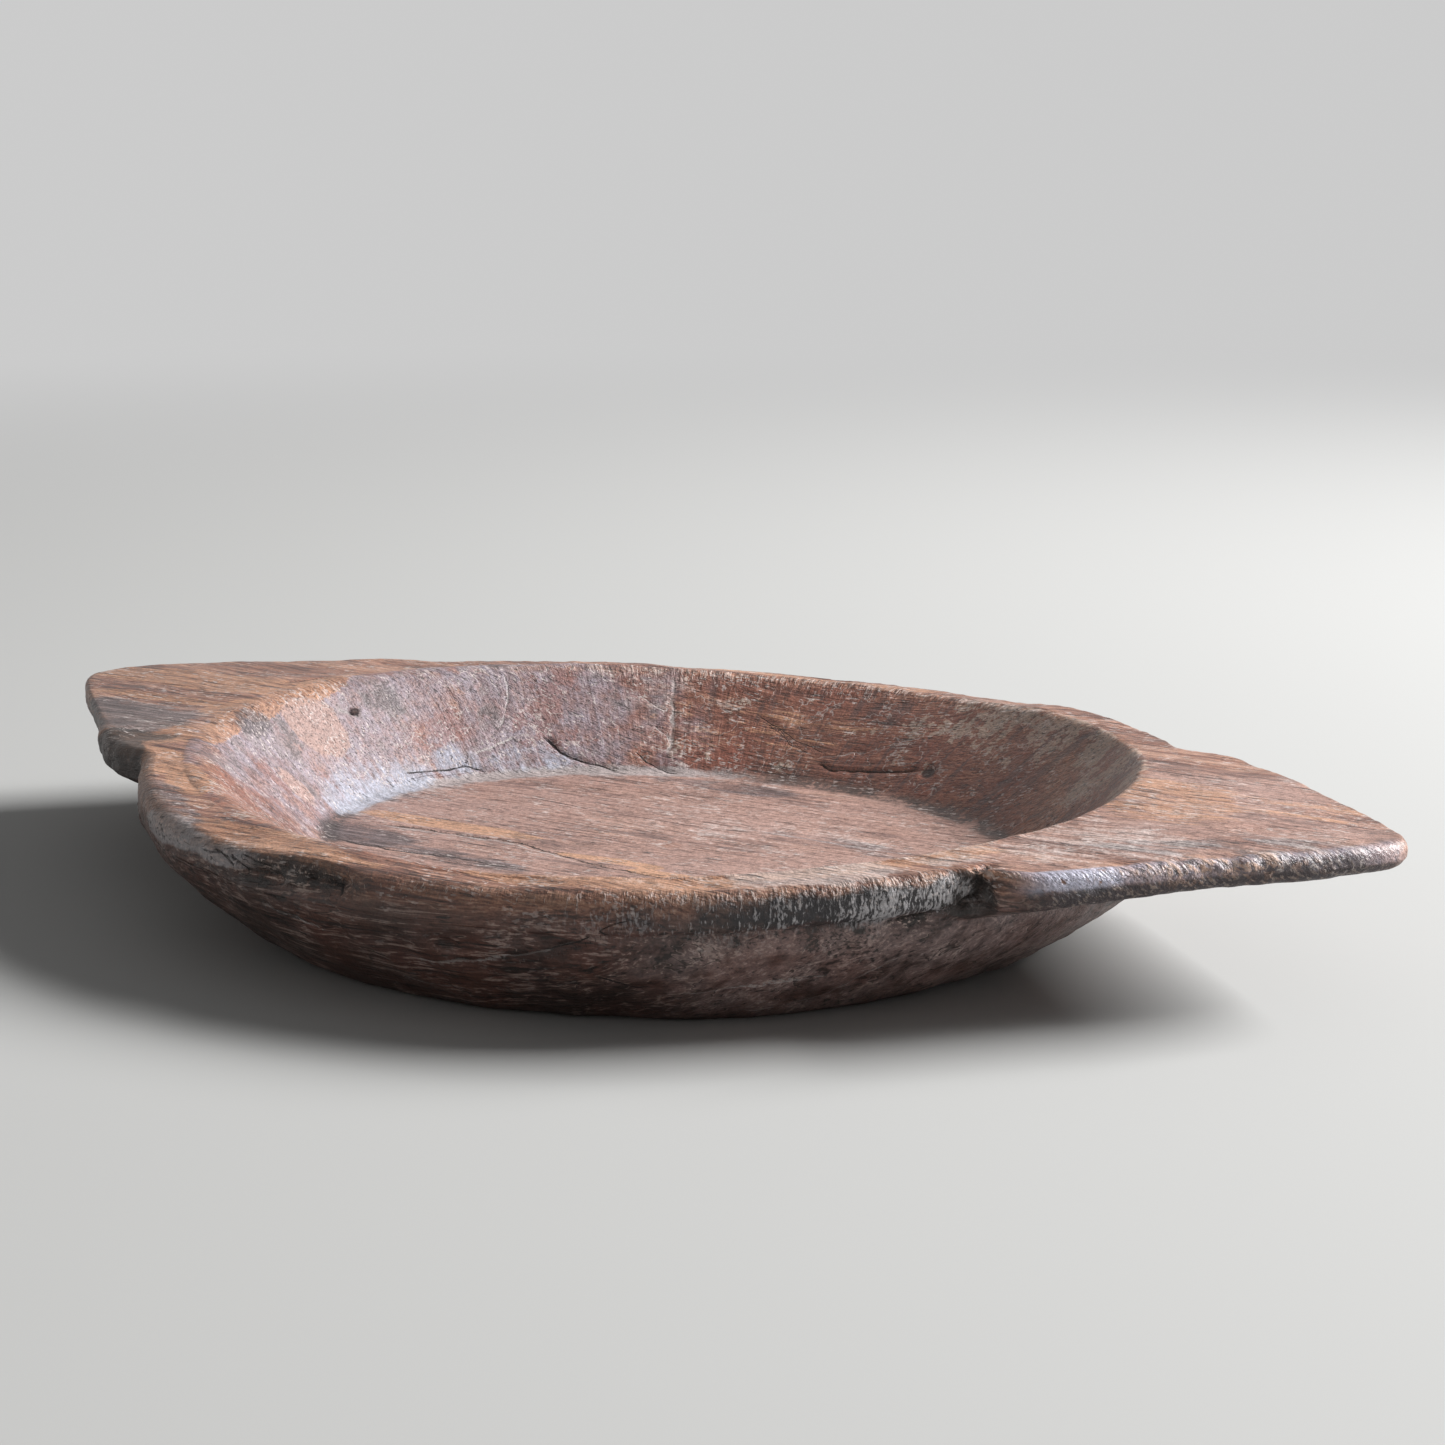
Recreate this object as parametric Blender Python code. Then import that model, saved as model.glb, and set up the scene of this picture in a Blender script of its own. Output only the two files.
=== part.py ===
"""Hand-carved dough bowl: one hardwood plank hollowed to a shallow bowl with two pointed lug handles.

Metres, +Z up. +X runs along the lugs, which is also the run of the grain, and the bowl stands on its flat
base at z = 0. The origin is at the bottom centre of the bowl's bounding box.

The bowl is a loft. Its sections change all the way round: the floor and rim are ovals of unlike shape, the
rim sinks at the long sides, and the rim's outer edge grows into a lug at each end. So the shape is built
from closed rings, each with the same number of points, that run from the middle of the floor, up the inner
wall, across the rim and the lugs, and down the outer wall to the base.
"""
import bmesh
import bpy
import numpy as np

COLLECTION_NAME = "dough_bowl_model"
BOWL_NAME = "dough_bowl"

# The whole bowl
RIM_HEIGHT = 0.0562          # top of the rim at the two lugs
RIM_DIP = 0.0097             # how much lower the rim is at the two long sides

# The hollow: half-lengths lie along the grain, half-widths across it
FLOOR_HEIGHT = 0.0165        # thickness of wood under the floor
FLOOR_HALF_LENGTH = 0.1355
FLOOR_HALF_WIDTH = 0.1065
MOUTH_HALF_LENGTH = 0.1735
MOUTH_HALF_WIDTH = 0.1562
CORNER_RADIUS = 0.0070       # worn round where the floor meets the inner wall
MOUTH_EDGE_RADIUS = 0.0030   # worn round at the inner edge of the rim

# The outside
RIM_HALF_LENGTH = 0.1955
RIM_HALF_WIDTH = 0.1712
RIM_BULGE = 0.0090           # the rim is wider here, at one side of the left lug
RIM_BULGE_DIRECTION = np.radians(236.0)
RIM_BULGE_SPREAD = np.radians(17.0)
BAND_THICKNESS = 0.0120      # the band under the rim's outer edge, which carries on into the lugs
LUG_TIP_THICKNESS = 0.0085
RIM_EDGE_RADIUS = 0.0036     # worn round at the outer edge of the rim and the lugs
BAND_OVERHANG = 0.0034       # how far the band stands out from the wall under it
BASE_HALF_LENGTH = 0.1485
BASE_HALF_WIDTH = 0.1500
BASE_EDGE_RADIUS = 0.0030
WALL_ROUNDNESS = 1.5         # how the outer wall swells: 1 is a straight cone, more is rounder

# The lugs: pointed, with rounded shoulders, each turned a little towards -Y
LUG_TURN = np.radians(1.0)
LUG_HALF_ANGLE = np.radians(43.2)
LUG_SHOULDER_HALF_WIDTH = 0.0940
RIGHT_LUG_APEX = 0.2835      # from the hollow's centre to where the lug's straight sides would meet
LEFT_LUG_APEX = 0.2815
RIGHT_LUG_REACH = 0.2800     # from the hollow's centre to the cut that blunts the tip
LEFT_LUG_REACH = 0.2745
CORNER_SHARPNESS = 34.0      # how tightly the outline turns at a tip or a shoulder
NOTCH_SHARPNESS = 70.0       # and in the notch between a shoulder and the rim
FAR_AWAY = 10.0              # stands for an edge that a direction doesn't meet

# Fineness of the surface
RING_POINTS = 120
OUTLINE_SAMPLES = 7200
STATION_SPACING = 0.0140     # a ring has a point about every 14 mm ...
STATION_TURN = np.radians(14.0)   # ... or wherever its outline has turned by this much
RELAXING_PASSES = 40
WALL_STEPS = 4
ROUND_STEPS = 3

WOOD_COLOUR = (0.190, 0.085, 0.048, 1.0)
WOOD_ROUGHNESS = 0.55


def oval_radius(direction, half_length, half_width):
    """Distance from the centre to an oval's edge in the given direction."""
    across = half_length * np.sin(direction)
    along = half_width * np.cos(direction)
    return half_length * half_width / np.hypot(across, along)


def angle_between(direction, other):
    """Signed angle from one direction to another, between -pi and pi."""
    return (direction - other + np.pi) % (2.0 * np.pi) - np.pi


def rim_radius(direction):
    """Outer edge of the round rim, without the lugs."""
    turn = angle_between(direction, RIM_BULGE_DIRECTION)
    bulge = RIM_BULGE * np.exp(-0.5 * (turn / RIM_BULGE_SPREAD) ** 2)
    return oval_radius(direction, RIM_HALF_LENGTH, RIM_HALF_WIDTH) + bulge


def straight_edge(turn, facing, distance):
    """Distance to a straight edge that faces one way and lies at the given distance from the centre."""
    toward = np.cos(angle_between(turn, facing))
    return np.where(toward > 0.01, distance / np.maximum(toward, 0.01), FAR_AWAY)


def lug_radius(direction, lug_direction, apex, reach):
    """Outline of one lug: a blunt tip, two straight sides and two shoulders, with rounded corners."""
    turn = angle_between(direction, lug_direction)
    side_facing = np.pi / 2.0 - LUG_HALF_ANGLE
    side_distance = apex * np.sin(LUG_HALF_ANGLE)
    edges = [straight_edge(turn, 0.0, reach)]
    for side in (-1.0, 1.0):
        edges.append(straight_edge(turn, side * side_facing, side_distance))
        edges.append(straight_edge(turn, side * np.pi / 2.0, LUG_SHOULDER_HALF_WIDTH))
    nearest = sum(edge ** -CORNER_SHARPNESS for edge in edges) ** (-1.0 / CORNER_SHARPNESS)
    return np.where(np.abs(turn) < np.pi / 2.0, nearest, 0.0)


def outline_radius(direction):
    """Outer edge of the whole bowl seen from above: the rim, or a lug where that stands out further."""
    right_lug = lug_radius(direction, -LUG_TURN, RIGHT_LUG_APEX, RIGHT_LUG_REACH)
    left_lug = lug_radius(direction, np.pi + LUG_TURN, LEFT_LUG_APEX, LEFT_LUG_REACH)
    edges = [rim_radius(direction), right_lug, left_lug]
    return sum(edge ** NOTCH_SHARPNESS for edge in edges) ** (1.0 / NOTCH_SHARPNESS)


def outline_directions():
    """Directions of the ring points, close together where the outline turns sharply."""
    direction = np.linspace(0.0, 2.0 * np.pi, OUTLINE_SAMPLES, endpoint=False)
    points = outline_radius(direction) * np.exp(1j * direction)
    steps = np.roll(points, -1) - points
    turning = np.abs(np.angle(steps / np.roll(steps, 1)))
    weight = np.abs(steps) / STATION_SPACING + turning / STATION_TURN
    travelled = np.concatenate([[0.0], np.cumsum(weight)])
    wanted = np.linspace(0.0, travelled[-1], RING_POINTS, endpoint=False)
    return np.interp(wanted, travelled, np.append(direction, 2.0 * np.pi))


def relaxed(directions):
    """The same directions spread more evenly, for the rings that have no sharp turns."""
    spread = directions.copy()
    for _ in range(RELAXING_PASSES):
        before = np.roll(spread, 1)
        before[0] -= 2.0 * np.pi
        after = np.roll(spread, -1)
        after[-1] += 2.0 * np.pi
        spread = (before + 2.0 * spread + after) / 4.0
    return spread


def rim_top(across):
    """Height of the rim's and the lugs' top, which is arched across the grain."""
    return RIM_HEIGHT - RIM_DIP * (across / RIM_HALF_WIDTH) ** 2


def ring(directions, radius, height):
    """A closed ring of points round the hollow's centre."""
    across = radius * np.sin(directions)
    along = radius * np.cos(directions)
    return np.stack([along, across, np.broadcast_to(height, across.shape)], axis=1)


def hollow_rings(directions):
    """Rings of the inside: the floor, its worn corner, the wall and the rim's inner edge."""
    floor = oval_radius(directions, FLOOR_HALF_LENGTH, FLOOR_HALF_WIDTH)
    mouth = oval_radius(directions, MOUTH_HALF_LENGTH, MOUTH_HALF_WIDTH)
    top = rim_top(mouth * np.sin(directions))
    rise = top - FLOOR_HEIGHT
    slope_length = np.hypot(mouth - floor, rise)
    outward = (mouth - floor) / slope_length
    upward = rise / slope_length
    rings = [ring(directions, floor - CORNER_RADIUS, FLOOR_HEIGHT)]
    for step in range(1, ROUND_STEPS + 1):
        share = step / ROUND_STEPS
        sunk = (1.0 - share) ** 2 * CORNER_RADIUS
        raised = share ** 2 * CORNER_RADIUS
        rings.append(ring(directions, floor - sunk + raised * outward, FLOOR_HEIGHT + raised * upward))
    for step in range(1, WALL_STEPS):
        share = step / WALL_STEPS
        climbed = CORNER_RADIUS + (slope_length - CORNER_RADIUS - MOUTH_EDGE_RADIUS) * share
        rings.append(ring(directions, floor + climbed * outward, FLOOR_HEIGHT + climbed * upward))
    for step in range(ROUND_STEPS + 1):
        share = step / ROUND_STEPS
        below = (1.0 - share) ** 2 * MOUTH_EDGE_RADIUS
        beyond = share ** 2 * MOUTH_EDGE_RADIUS
        rings.append(ring(directions, mouth - below * outward + beyond, top - below * upward))
    return rings


def band_rings(directions):
    """Rings of the rim's outer edge and the lugs: round at the top edge and at the bottom edge."""
    edge = outline_radius(directions)
    beyond_rim = (edge - rim_radius(directions)) / (RIGHT_LUG_REACH - RIM_HALF_LENGTH)
    thickness = BAND_THICKNESS + (LUG_TIP_THICKNESS - BAND_THICKNESS) * beyond_rim
    top = rim_top(edge * np.sin(directions))
    rings = []
    for step in range(ROUND_STEPS + 1):
        angle = 0.5 * np.pi * step / ROUND_STEPS
        inset = RIM_EDGE_RADIUS * (1.0 - np.sin(angle))
        rings.append(ring(directions, edge - inset, top - RIM_EDGE_RADIUS * (1.0 - np.cos(angle))))
    for step in range(ROUND_STEPS + 1):
        angle = 0.5 * np.pi * step / ROUND_STEPS
        inset = RIM_EDGE_RADIUS * (1.0 - np.cos(angle))
        lift = RIM_EDGE_RADIUS * (1.0 - np.sin(angle))
        rings.append(ring(directions, edge - inset, top - thickness + lift))
    return rings


def outer_wall_rings(directions, even_directions):
    """Rings of the outer wall, from under the band down to the edge of the base."""
    rings = []
    for step in range(WALL_STEPS + 1):
        share = step / WALL_STEPS
        facing = directions + (even_directions - directions) * share
        upper = rim_radius(facing) - BAND_OVERHANG
        base = oval_radius(facing, BASE_HALF_LENGTH, BASE_HALF_WIDTH)
        highest = rim_top(upper * np.sin(facing)) - BAND_THICKNESS - BAND_OVERHANG
        height = BASE_EDGE_RADIUS + (highest - BASE_EDGE_RADIUS) * (1.0 - share)
        swell = 1.0 - (1.0 - height / highest) ** WALL_ROUNDNESS
        rings.append(ring(facing, base + (upper - base) * swell, height))
    base = oval_radius(even_directions, BASE_HALF_LENGTH, BASE_HALF_WIDTH)
    rings.append(ring(even_directions, base, BASE_EDGE_RADIUS * 0.25))
    rings.append(ring(even_directions, base - BASE_EDGE_RADIUS, 0.0))
    return rings


def bowl_rings():
    """Every ring of the bowl, from the floor's edge over the rim to the base's edge."""
    directions = outline_directions()
    even_directions = relaxed(directions)
    inside = hollow_rings(even_directions)
    rings = np.array(inside + band_rings(directions) + outer_wall_rings(directions, even_directions))
    middle = (rings.min(axis=(0, 1)) + rings.max(axis=(0, 1))) / 2.0
    return rings - np.array([middle[0], middle[1], 0.0])


def loft(name, rings):
    """A closed mesh through the rings, with a flat cap on the first and the last one."""
    mesh = bpy.data.meshes.new(name)
    work = bmesh.new()
    loops = [[work.verts.new(point) for point in points] for points in rings]
    for lower, upper in zip(loops, loops[1:]):
        for here in range(len(lower)):
            after = (here + 1) % len(lower)
            work.faces.new((lower[here], lower[after], upper[after], upper[here]))
    work.faces.new(loops[0])
    work.faces.new(reversed(loops[-1]))
    bmesh.ops.recalc_face_normals(work, faces=work.faces)
    bmesh.ops.triangulate(work, faces=[face for face in work.faces if len(face.verts) > 4])
    work.to_mesh(mesh)
    work.free()
    return mesh


def wood_material():
    """Old oiled hardwood."""
    material = bpy.data.materials.new("old_hardwood")
    material.use_nodes = True
    shader = material.node_tree.nodes["Principled BSDF"]
    shader.inputs["Base Color"].default_value = WOOD_COLOUR
    shader.inputs["Roughness"].default_value = WOOD_ROUGHNESS
    shader.inputs["Metallic"].default_value = 0.0
    return material


def clear_scene():
    """Remove whatever objects the open file holds."""
    for old in list(bpy.data.objects):
        bpy.data.objects.remove(old, do_unlink=True)


def main():
    """Build the bowl in its own collection."""
    clear_scene()
    collection = bpy.data.collections.new(COLLECTION_NAME)
    bpy.context.scene.collection.children.link(collection)
    mesh = loft(BOWL_NAME, bowl_rings())
    mesh.materials.append(wood_material())
    mesh.shade_smooth()
    mesh.set_sharp_from_angle(angle=np.radians(50.0))
    collection.objects.link(bpy.data.objects.new(BOWL_NAME, mesh))


main()
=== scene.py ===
"""Dressed model of a hand-carved dough bowl: one old hardwood plank with two pointed lug handles.

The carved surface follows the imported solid's own sizes. It adds what a hand tool, use and age leave on the
wood: scraped and adzed facets, torn fibres, nicks, cracks, chips and worn edges, as geometry. The wood's
colour, grain and sheen come from one procedural finish, which reads masks stored on the mesh.
"""
import logging
from dataclasses import dataclass
from enum import IntEnum
from typing import Any, Callable, ClassVar, Dict, Iterator, List, Optional, Sequence, Tuple, Union

import bpy
import numpy as np
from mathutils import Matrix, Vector


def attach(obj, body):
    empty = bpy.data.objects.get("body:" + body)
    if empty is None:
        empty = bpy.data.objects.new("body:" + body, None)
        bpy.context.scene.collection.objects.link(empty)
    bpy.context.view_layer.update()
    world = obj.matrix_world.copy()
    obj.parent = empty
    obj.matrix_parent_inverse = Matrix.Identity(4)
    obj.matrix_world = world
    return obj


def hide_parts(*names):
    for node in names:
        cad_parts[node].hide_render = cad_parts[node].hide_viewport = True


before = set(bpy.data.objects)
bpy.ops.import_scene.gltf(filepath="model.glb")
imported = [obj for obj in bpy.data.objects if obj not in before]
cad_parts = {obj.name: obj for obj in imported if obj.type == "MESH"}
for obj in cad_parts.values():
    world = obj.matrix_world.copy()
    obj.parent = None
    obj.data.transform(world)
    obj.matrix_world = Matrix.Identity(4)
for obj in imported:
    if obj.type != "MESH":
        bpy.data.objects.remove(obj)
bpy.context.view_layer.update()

NODE = "dough_bowl"
ROOT_BODY = "root"
TAU = 2.0 * np.pi
MM = 0.001

# How far from the centre directions are turned into lengths, for marks that run round the walls
WALL_RADIUS = 0.165

Array = np.ndarray
Place = Tuple[float, float, float]
Colour = Tuple[float, float, float, float]

log = logging.getLogger("dough_bowl")


# The bowl's form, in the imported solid's own sizes
def angle_between(direction: Array, other: float) -> Array:
    """Signed angle from one direction to others.

    Args:
        direction: Directions in radians.
        other: The direction that they are measured from.

    Returns:
        Angles between -pi and pi.
    """
    return (direction - other + np.pi) % TAU - np.pi


def smooth_step(value: Array, low: float, high: float) -> Array:
    """Rise smoothly from 0 at low to 1 at high.

    Args:
        value: Where to read the step.
        low: The value where it starts.
        high: The value where it ends.

    Returns:
        Numbers from 0 to 1.
    """
    share = np.clip((value - low) / (high - low), 0.0, 1.0)
    return share * share * (3.0 - 2.0 * share)


def window(value: Array, rise_start: float, rise_end: float, fall_start: float, fall_end: float) -> Array:
    """Rise smoothly from 0 to 1, stay there and fall back to 0.

    Args:
        value: Where to read the curve.
        rise_start: The value where the rise starts.
        rise_end: The value where it ends.
        fall_start: The value where the fall starts.
        fall_end: The value where it ends.

    Returns:
        Numbers from 0 to 1.
    """
    return smooth_step(value, rise_start, rise_end) * (1.0 - smooth_step(value, fall_start, fall_end))


def bell(value: Array, width: float) -> Array:
    """Fall smoothly from 1 at 0 toward 0 on both sides.

    Args:
        value: Where to read the curve.
        width: Where it has fallen to about a third.

    Returns:
        Numbers from 0 to 1.
    """
    return np.exp(-(value / width) ** 2)


def nearness(direction: Array, facing: float, near: float, far: float) -> Array:
    """How near directions are to one that is given in degrees.

    Args:
        direction: Directions in radians.
        facing: The direction that they are compared with, in degrees.
        near: The angle up to which the result is 1, in degrees.
        far: The angle from which it is 0, in degrees.

    Returns:
        Numbers from 0 to 1.
    """
    away = np.abs(angle_between(direction, np.radians(facing)))
    return 1.0 - smooth_step(away, np.radians(near), np.radians(far))


def shares(count: int) -> Array:
    """Even shares from 0 to 1, both included, in a number of steps."""
    return np.linspace(0.0, 1.0, count + 1)


def oval_radius(direction: Array, half_length: float, half_width: float) -> Array:
    """Distance from the centre to an oval's edge.

    Args:
        direction: Directions in radians.
        half_length: Half of the oval's length, along X.
        half_width: Half of its width, along Y.

    Returns:
        One distance for each direction.
    """
    span = np.hypot(half_length * np.sin(direction), half_width * np.cos(direction))
    return half_length * half_width / span


@dataclass(frozen=True)
class BowlForm:
    """The plain form of the bowl, in metres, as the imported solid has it."""

    rim_height: float = 0.0562
    rim_dip: float = 0.0097
    floor_height: float = 0.0165
    floor_half_length: float = 0.1355
    floor_half_width: float = 0.1065
    mouth_half_length: float = 0.1735
    mouth_half_width: float = 0.1562
    corner_radius: float = 0.0048
    mouth_edge_radius: float = 0.0030
    left_lip_radius: float = 0.0062
    right_lip_radius: float = 0.0018
    near_left_lip_wear: float = 0.0030
    rim_half_length: float = 0.1955
    rim_half_width: float = 0.1712
    rim_bulge: float = 0.0090
    rim_bulge_direction: float = float(np.radians(236.0))
    rim_bulge_spread: float = float(np.radians(17.0))
    band_thickness: float = 0.0120
    lug_tip_thickness: float = 0.0085
    rim_edge_radius: float = 0.0036
    near_edge_wear: float = 0.0022
    band_overhang: float = 0.0034
    least_overhang_share: float = 0.12
    right_overhang: float = 0.0024
    base_half_length: float = 0.1485
    base_half_width: float = 0.1500
    base_edge_radius: float = 0.0030
    wall_roundness: float = 1.5
    lug_turn: float = float(np.radians(1.0))
    lug_half_angle: float = float(np.radians(43.2))
    lug_shoulder_half_width: float = 0.0940
    right_lug_apex: float = 0.2835
    left_lug_apex: float = 0.2815
    right_lug_reach: float = 0.2800
    left_lug_reach: float = 0.2745
    corner_sharpness: float = 34.0
    notch_sharpness: float = 70.0

    def rim_radius(self, direction: Array) -> Array:
        """Outer edge of the round rim, without the lugs.

        Args:
            direction: Directions in radians.

        Returns:
            Distances from the hollow's centre.
        """
        turn = angle_between(direction, self.rim_bulge_direction)
        bulge = self.rim_bulge * np.exp(-0.5 * (turn / self.rim_bulge_spread) ** 2)
        return oval_radius(direction, self.rim_half_length, self.rim_half_width) + bulge

    @staticmethod
    def straight_edge(turn: Array, facing: float, distance: float) -> Array:
        """Distance to a straight edge that faces one way.

        Args:
            turn: Directions in radians.
            facing: The direction that the edge faces.
            distance: How far the edge lies from the centre.

        Returns:
            Distances, or a far one where a direction doesn't meet the edge.
        """
        toward = np.cos(angle_between(turn, facing))
        return np.where(toward > 0.01, distance / np.maximum(toward, 0.01), 10.0)

    def lug_radius(self, direction: Array, lug_direction: float, apex: float, reach: float) -> Array:
        """Outline of one lug: a blunt tip, two straight sides and two shoulders, with rounded corners.

        Args:
            direction: Directions in radians.
            lug_direction: The way that the lug points.
            apex: Where its straight sides would meet.
            reach: Where the cut that blunts its tip lies.

        Returns:
            Distances from the hollow's centre, 0 behind the lug.
        """
        turn = angle_between(direction, lug_direction)
        side_facing = np.pi / 2.0 - self.lug_half_angle
        side_distance = apex * np.sin(self.lug_half_angle)
        edges = [self.straight_edge(turn, 0.0, reach)]
        for side in (-1.0, 1.0):
            edges.append(self.straight_edge(turn, side * side_facing, side_distance))
            edges.append(self.straight_edge(turn, side * np.pi / 2.0, self.lug_shoulder_half_width))
        nearest = sum(edge ** -self.corner_sharpness for edge in edges) ** (-1.0 / self.corner_sharpness)
        return np.where(np.abs(turn) < np.pi / 2.0, nearest, 0.0)

    def outline_radius(self, direction: Array) -> Array:
        """Outer edge of the whole bowl seen from above.

        Args:
            direction: Directions in radians.

        Returns:
            Distances from the hollow's centre.
        """
        edges = [
            self.rim_radius(direction),
            self.lug_radius(direction, -self.lug_turn, self.right_lug_apex, self.right_lug_reach),
            self.lug_radius(direction, np.pi + self.lug_turn, self.left_lug_apex, self.left_lug_reach),
        ]
        return sum(edge ** self.notch_sharpness for edge in edges) ** (1.0 / self.notch_sharpness)

    def lip_radius(self, direction: Array) -> Array:
        """How round the mouth's edge is worn: broad at the left, crisp at the right.

        Args:
            direction: Directions in radians.

        Returns:
            One size for each direction.
        """
        leftward = np.clip(-np.cos(direction + np.radians(12.0)), 0.0, 1.0) ** 1.5
        rightward = np.clip(np.cos(direction), 0.0, 1.0)
        near_left = bell(angle_between(direction, np.radians(-140.0)), np.radians(24.0))
        size = self.mouth_edge_radius + (self.left_lip_radius - self.mouth_edge_radius) * leftward
        size += self.near_left_lip_wear * near_left
        return size + (self.right_lip_radius - self.mouth_edge_radius) * rightward

    def overhang(self, direction: Array) -> Array:
        """How far the band stands out over the wall: least at the near left, where the two run together.

        Args:
            direction: Directions in radians.

        Returns:
            One distance for each direction.
        """
        blended = (1.0 - self.least_overhang_share) * nearness(direction, -108.0, 34.0, 56.0)
        drawn_in = nearness(direction, -12.0, 12.0, 34.0)
        return self.band_overhang * (1.0 - blended) + self.right_overhang * drawn_in

    def edge_radius(self, direction: Array) -> Array:
        """How round the band's upper edge is worn: most along the near side.

        Args:
            direction: Directions in radians.

        Returns:
            One size for each direction.
        """
        return self.rim_edge_radius + self.near_edge_wear * nearness(direction, -105.0, 30.0, 60.0)

    def rim_top(self, across: Array) -> Array:
        """Height of the rim's and the lugs' top, which is arched across the grain.

        Args:
            across: Distances from the long axis.

        Returns:
            Heights over the base.
        """
        return self.rim_height - self.rim_dip * (across / self.rim_half_width) ** 2

    def centre(self) -> Array:
        """The hollow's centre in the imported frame, whose origin is the middle of the bounding box."""
        direction = np.linspace(0.0, TAU, 7200, endpoint=False)
        outline = self.outline_radius(direction) * np.exp(1j * direction)
        along = (outline.real.min() + outline.real.max()) / 2.0
        across = (outline.imag.min() + outline.imag.max()) / 2.0
        return np.array([-along, -across, 0.0])


# Seeded unevenness
@dataclass(frozen=True)
class Unevenness:
    """Smooth noise in space, the same on each run for one seed."""

    seed: int

    def _slopes(self) -> Array:
        """The table of unit slopes that the noise draws from."""
        slopes = np.random.default_rng(self.seed).normal(size=(256, 3))
        return slopes / np.linalg.norm(slopes, axis=1, keepdims=True)

    def at(self, points: Array) -> Array:
        """Read the noise.

        Args:
            points: Places, one row of three each, where one unit is one lump of the noise.

        Returns:
            One number for each point, mostly between -1 and 1.
        """
        slopes = self._slopes()
        cell = np.floor(points).astype(np.int64)
        local = points - cell
        fade = local ** 3 * (local * (local * 6.0 - 15.0) + 10.0)
        total = np.zeros(points.shape[:-1])
        for corner in range(8):
            step = np.array([corner & 1, (corner >> 1) & 1, (corner >> 2) & 1])
            place = cell + step
            key = place[..., 0] * 73856093 ^ place[..., 1] * 19349663 ^ place[..., 2] * 83492791
            key = (key ^ (key >> 13)) * 1274126177
            slope = slopes[(key ^ (key >> 16)) & 255]
            rise = ((local - step) * slope).sum(axis=-1)
            total += rise * np.where(step, fade, 1.0 - fade).prod(axis=-1)
        return total * 1.7

    def layered(self, points: Array, layers: int = 3) -> Array:
        """Noise with finer noise over it.

        Args:
            points: Places, as for at().
            layers: How many sizes of lump are summed.

        Returns:
            One number for each point.
        """
        return sum(self.at(points * 2.0 ** layer + 17.3 * layer) * 0.5 ** layer for layer in range(layers))


# The carved surface
class Zone(IntEnum):
    """The parts of the surface, from the middle of the floor round to the base."""

    FLOOR = 0
    HOLLOW = 1
    TOP = 2
    BAND = 3
    OUTSIDE = 4
    BASE = 5


@dataclass
class Surface:
    """The bowl's surface as a grid of points, rings by stations."""

    points: Array
    zones: Array
    normals: Optional[Array] = None
    masks: Optional[Dict[str, Array]] = None

    def find_normals(self) -> None:
        """Work out the way that each point faces."""
        around = np.roll(self.points, -1, axis=1) - np.roll(self.points, 1, axis=1)
        outward = np.gradient(self.points, axis=0)
        facing = np.cross(outward, around)
        self.normals = facing / np.maximum(np.linalg.norm(facing, axis=2, keepdims=True), 1e-12)
        if self.normals[self.zones == Zone.FLOOR][..., 2].mean() < 0.0:
            self.normals = -self.normals


@dataclass(frozen=True)
class RingLayout:
    """How finely the surface is laid out."""

    stations: int = 900
    outline_samples: int = 14400
    station_spacing: float = 0.0014
    station_turn: float = float(np.radians(4.0))
    relaxing_passes: int = 900
    floor_rings: int = 70
    corner_rings: int = 8
    wall_rings: int = 44
    edge_rings: int = 8
    top_rings: int = 56
    band_rings: int = 8
    under_rings: int = 14
    outside_rings: int = 40
    base_rings: int = 8


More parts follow.
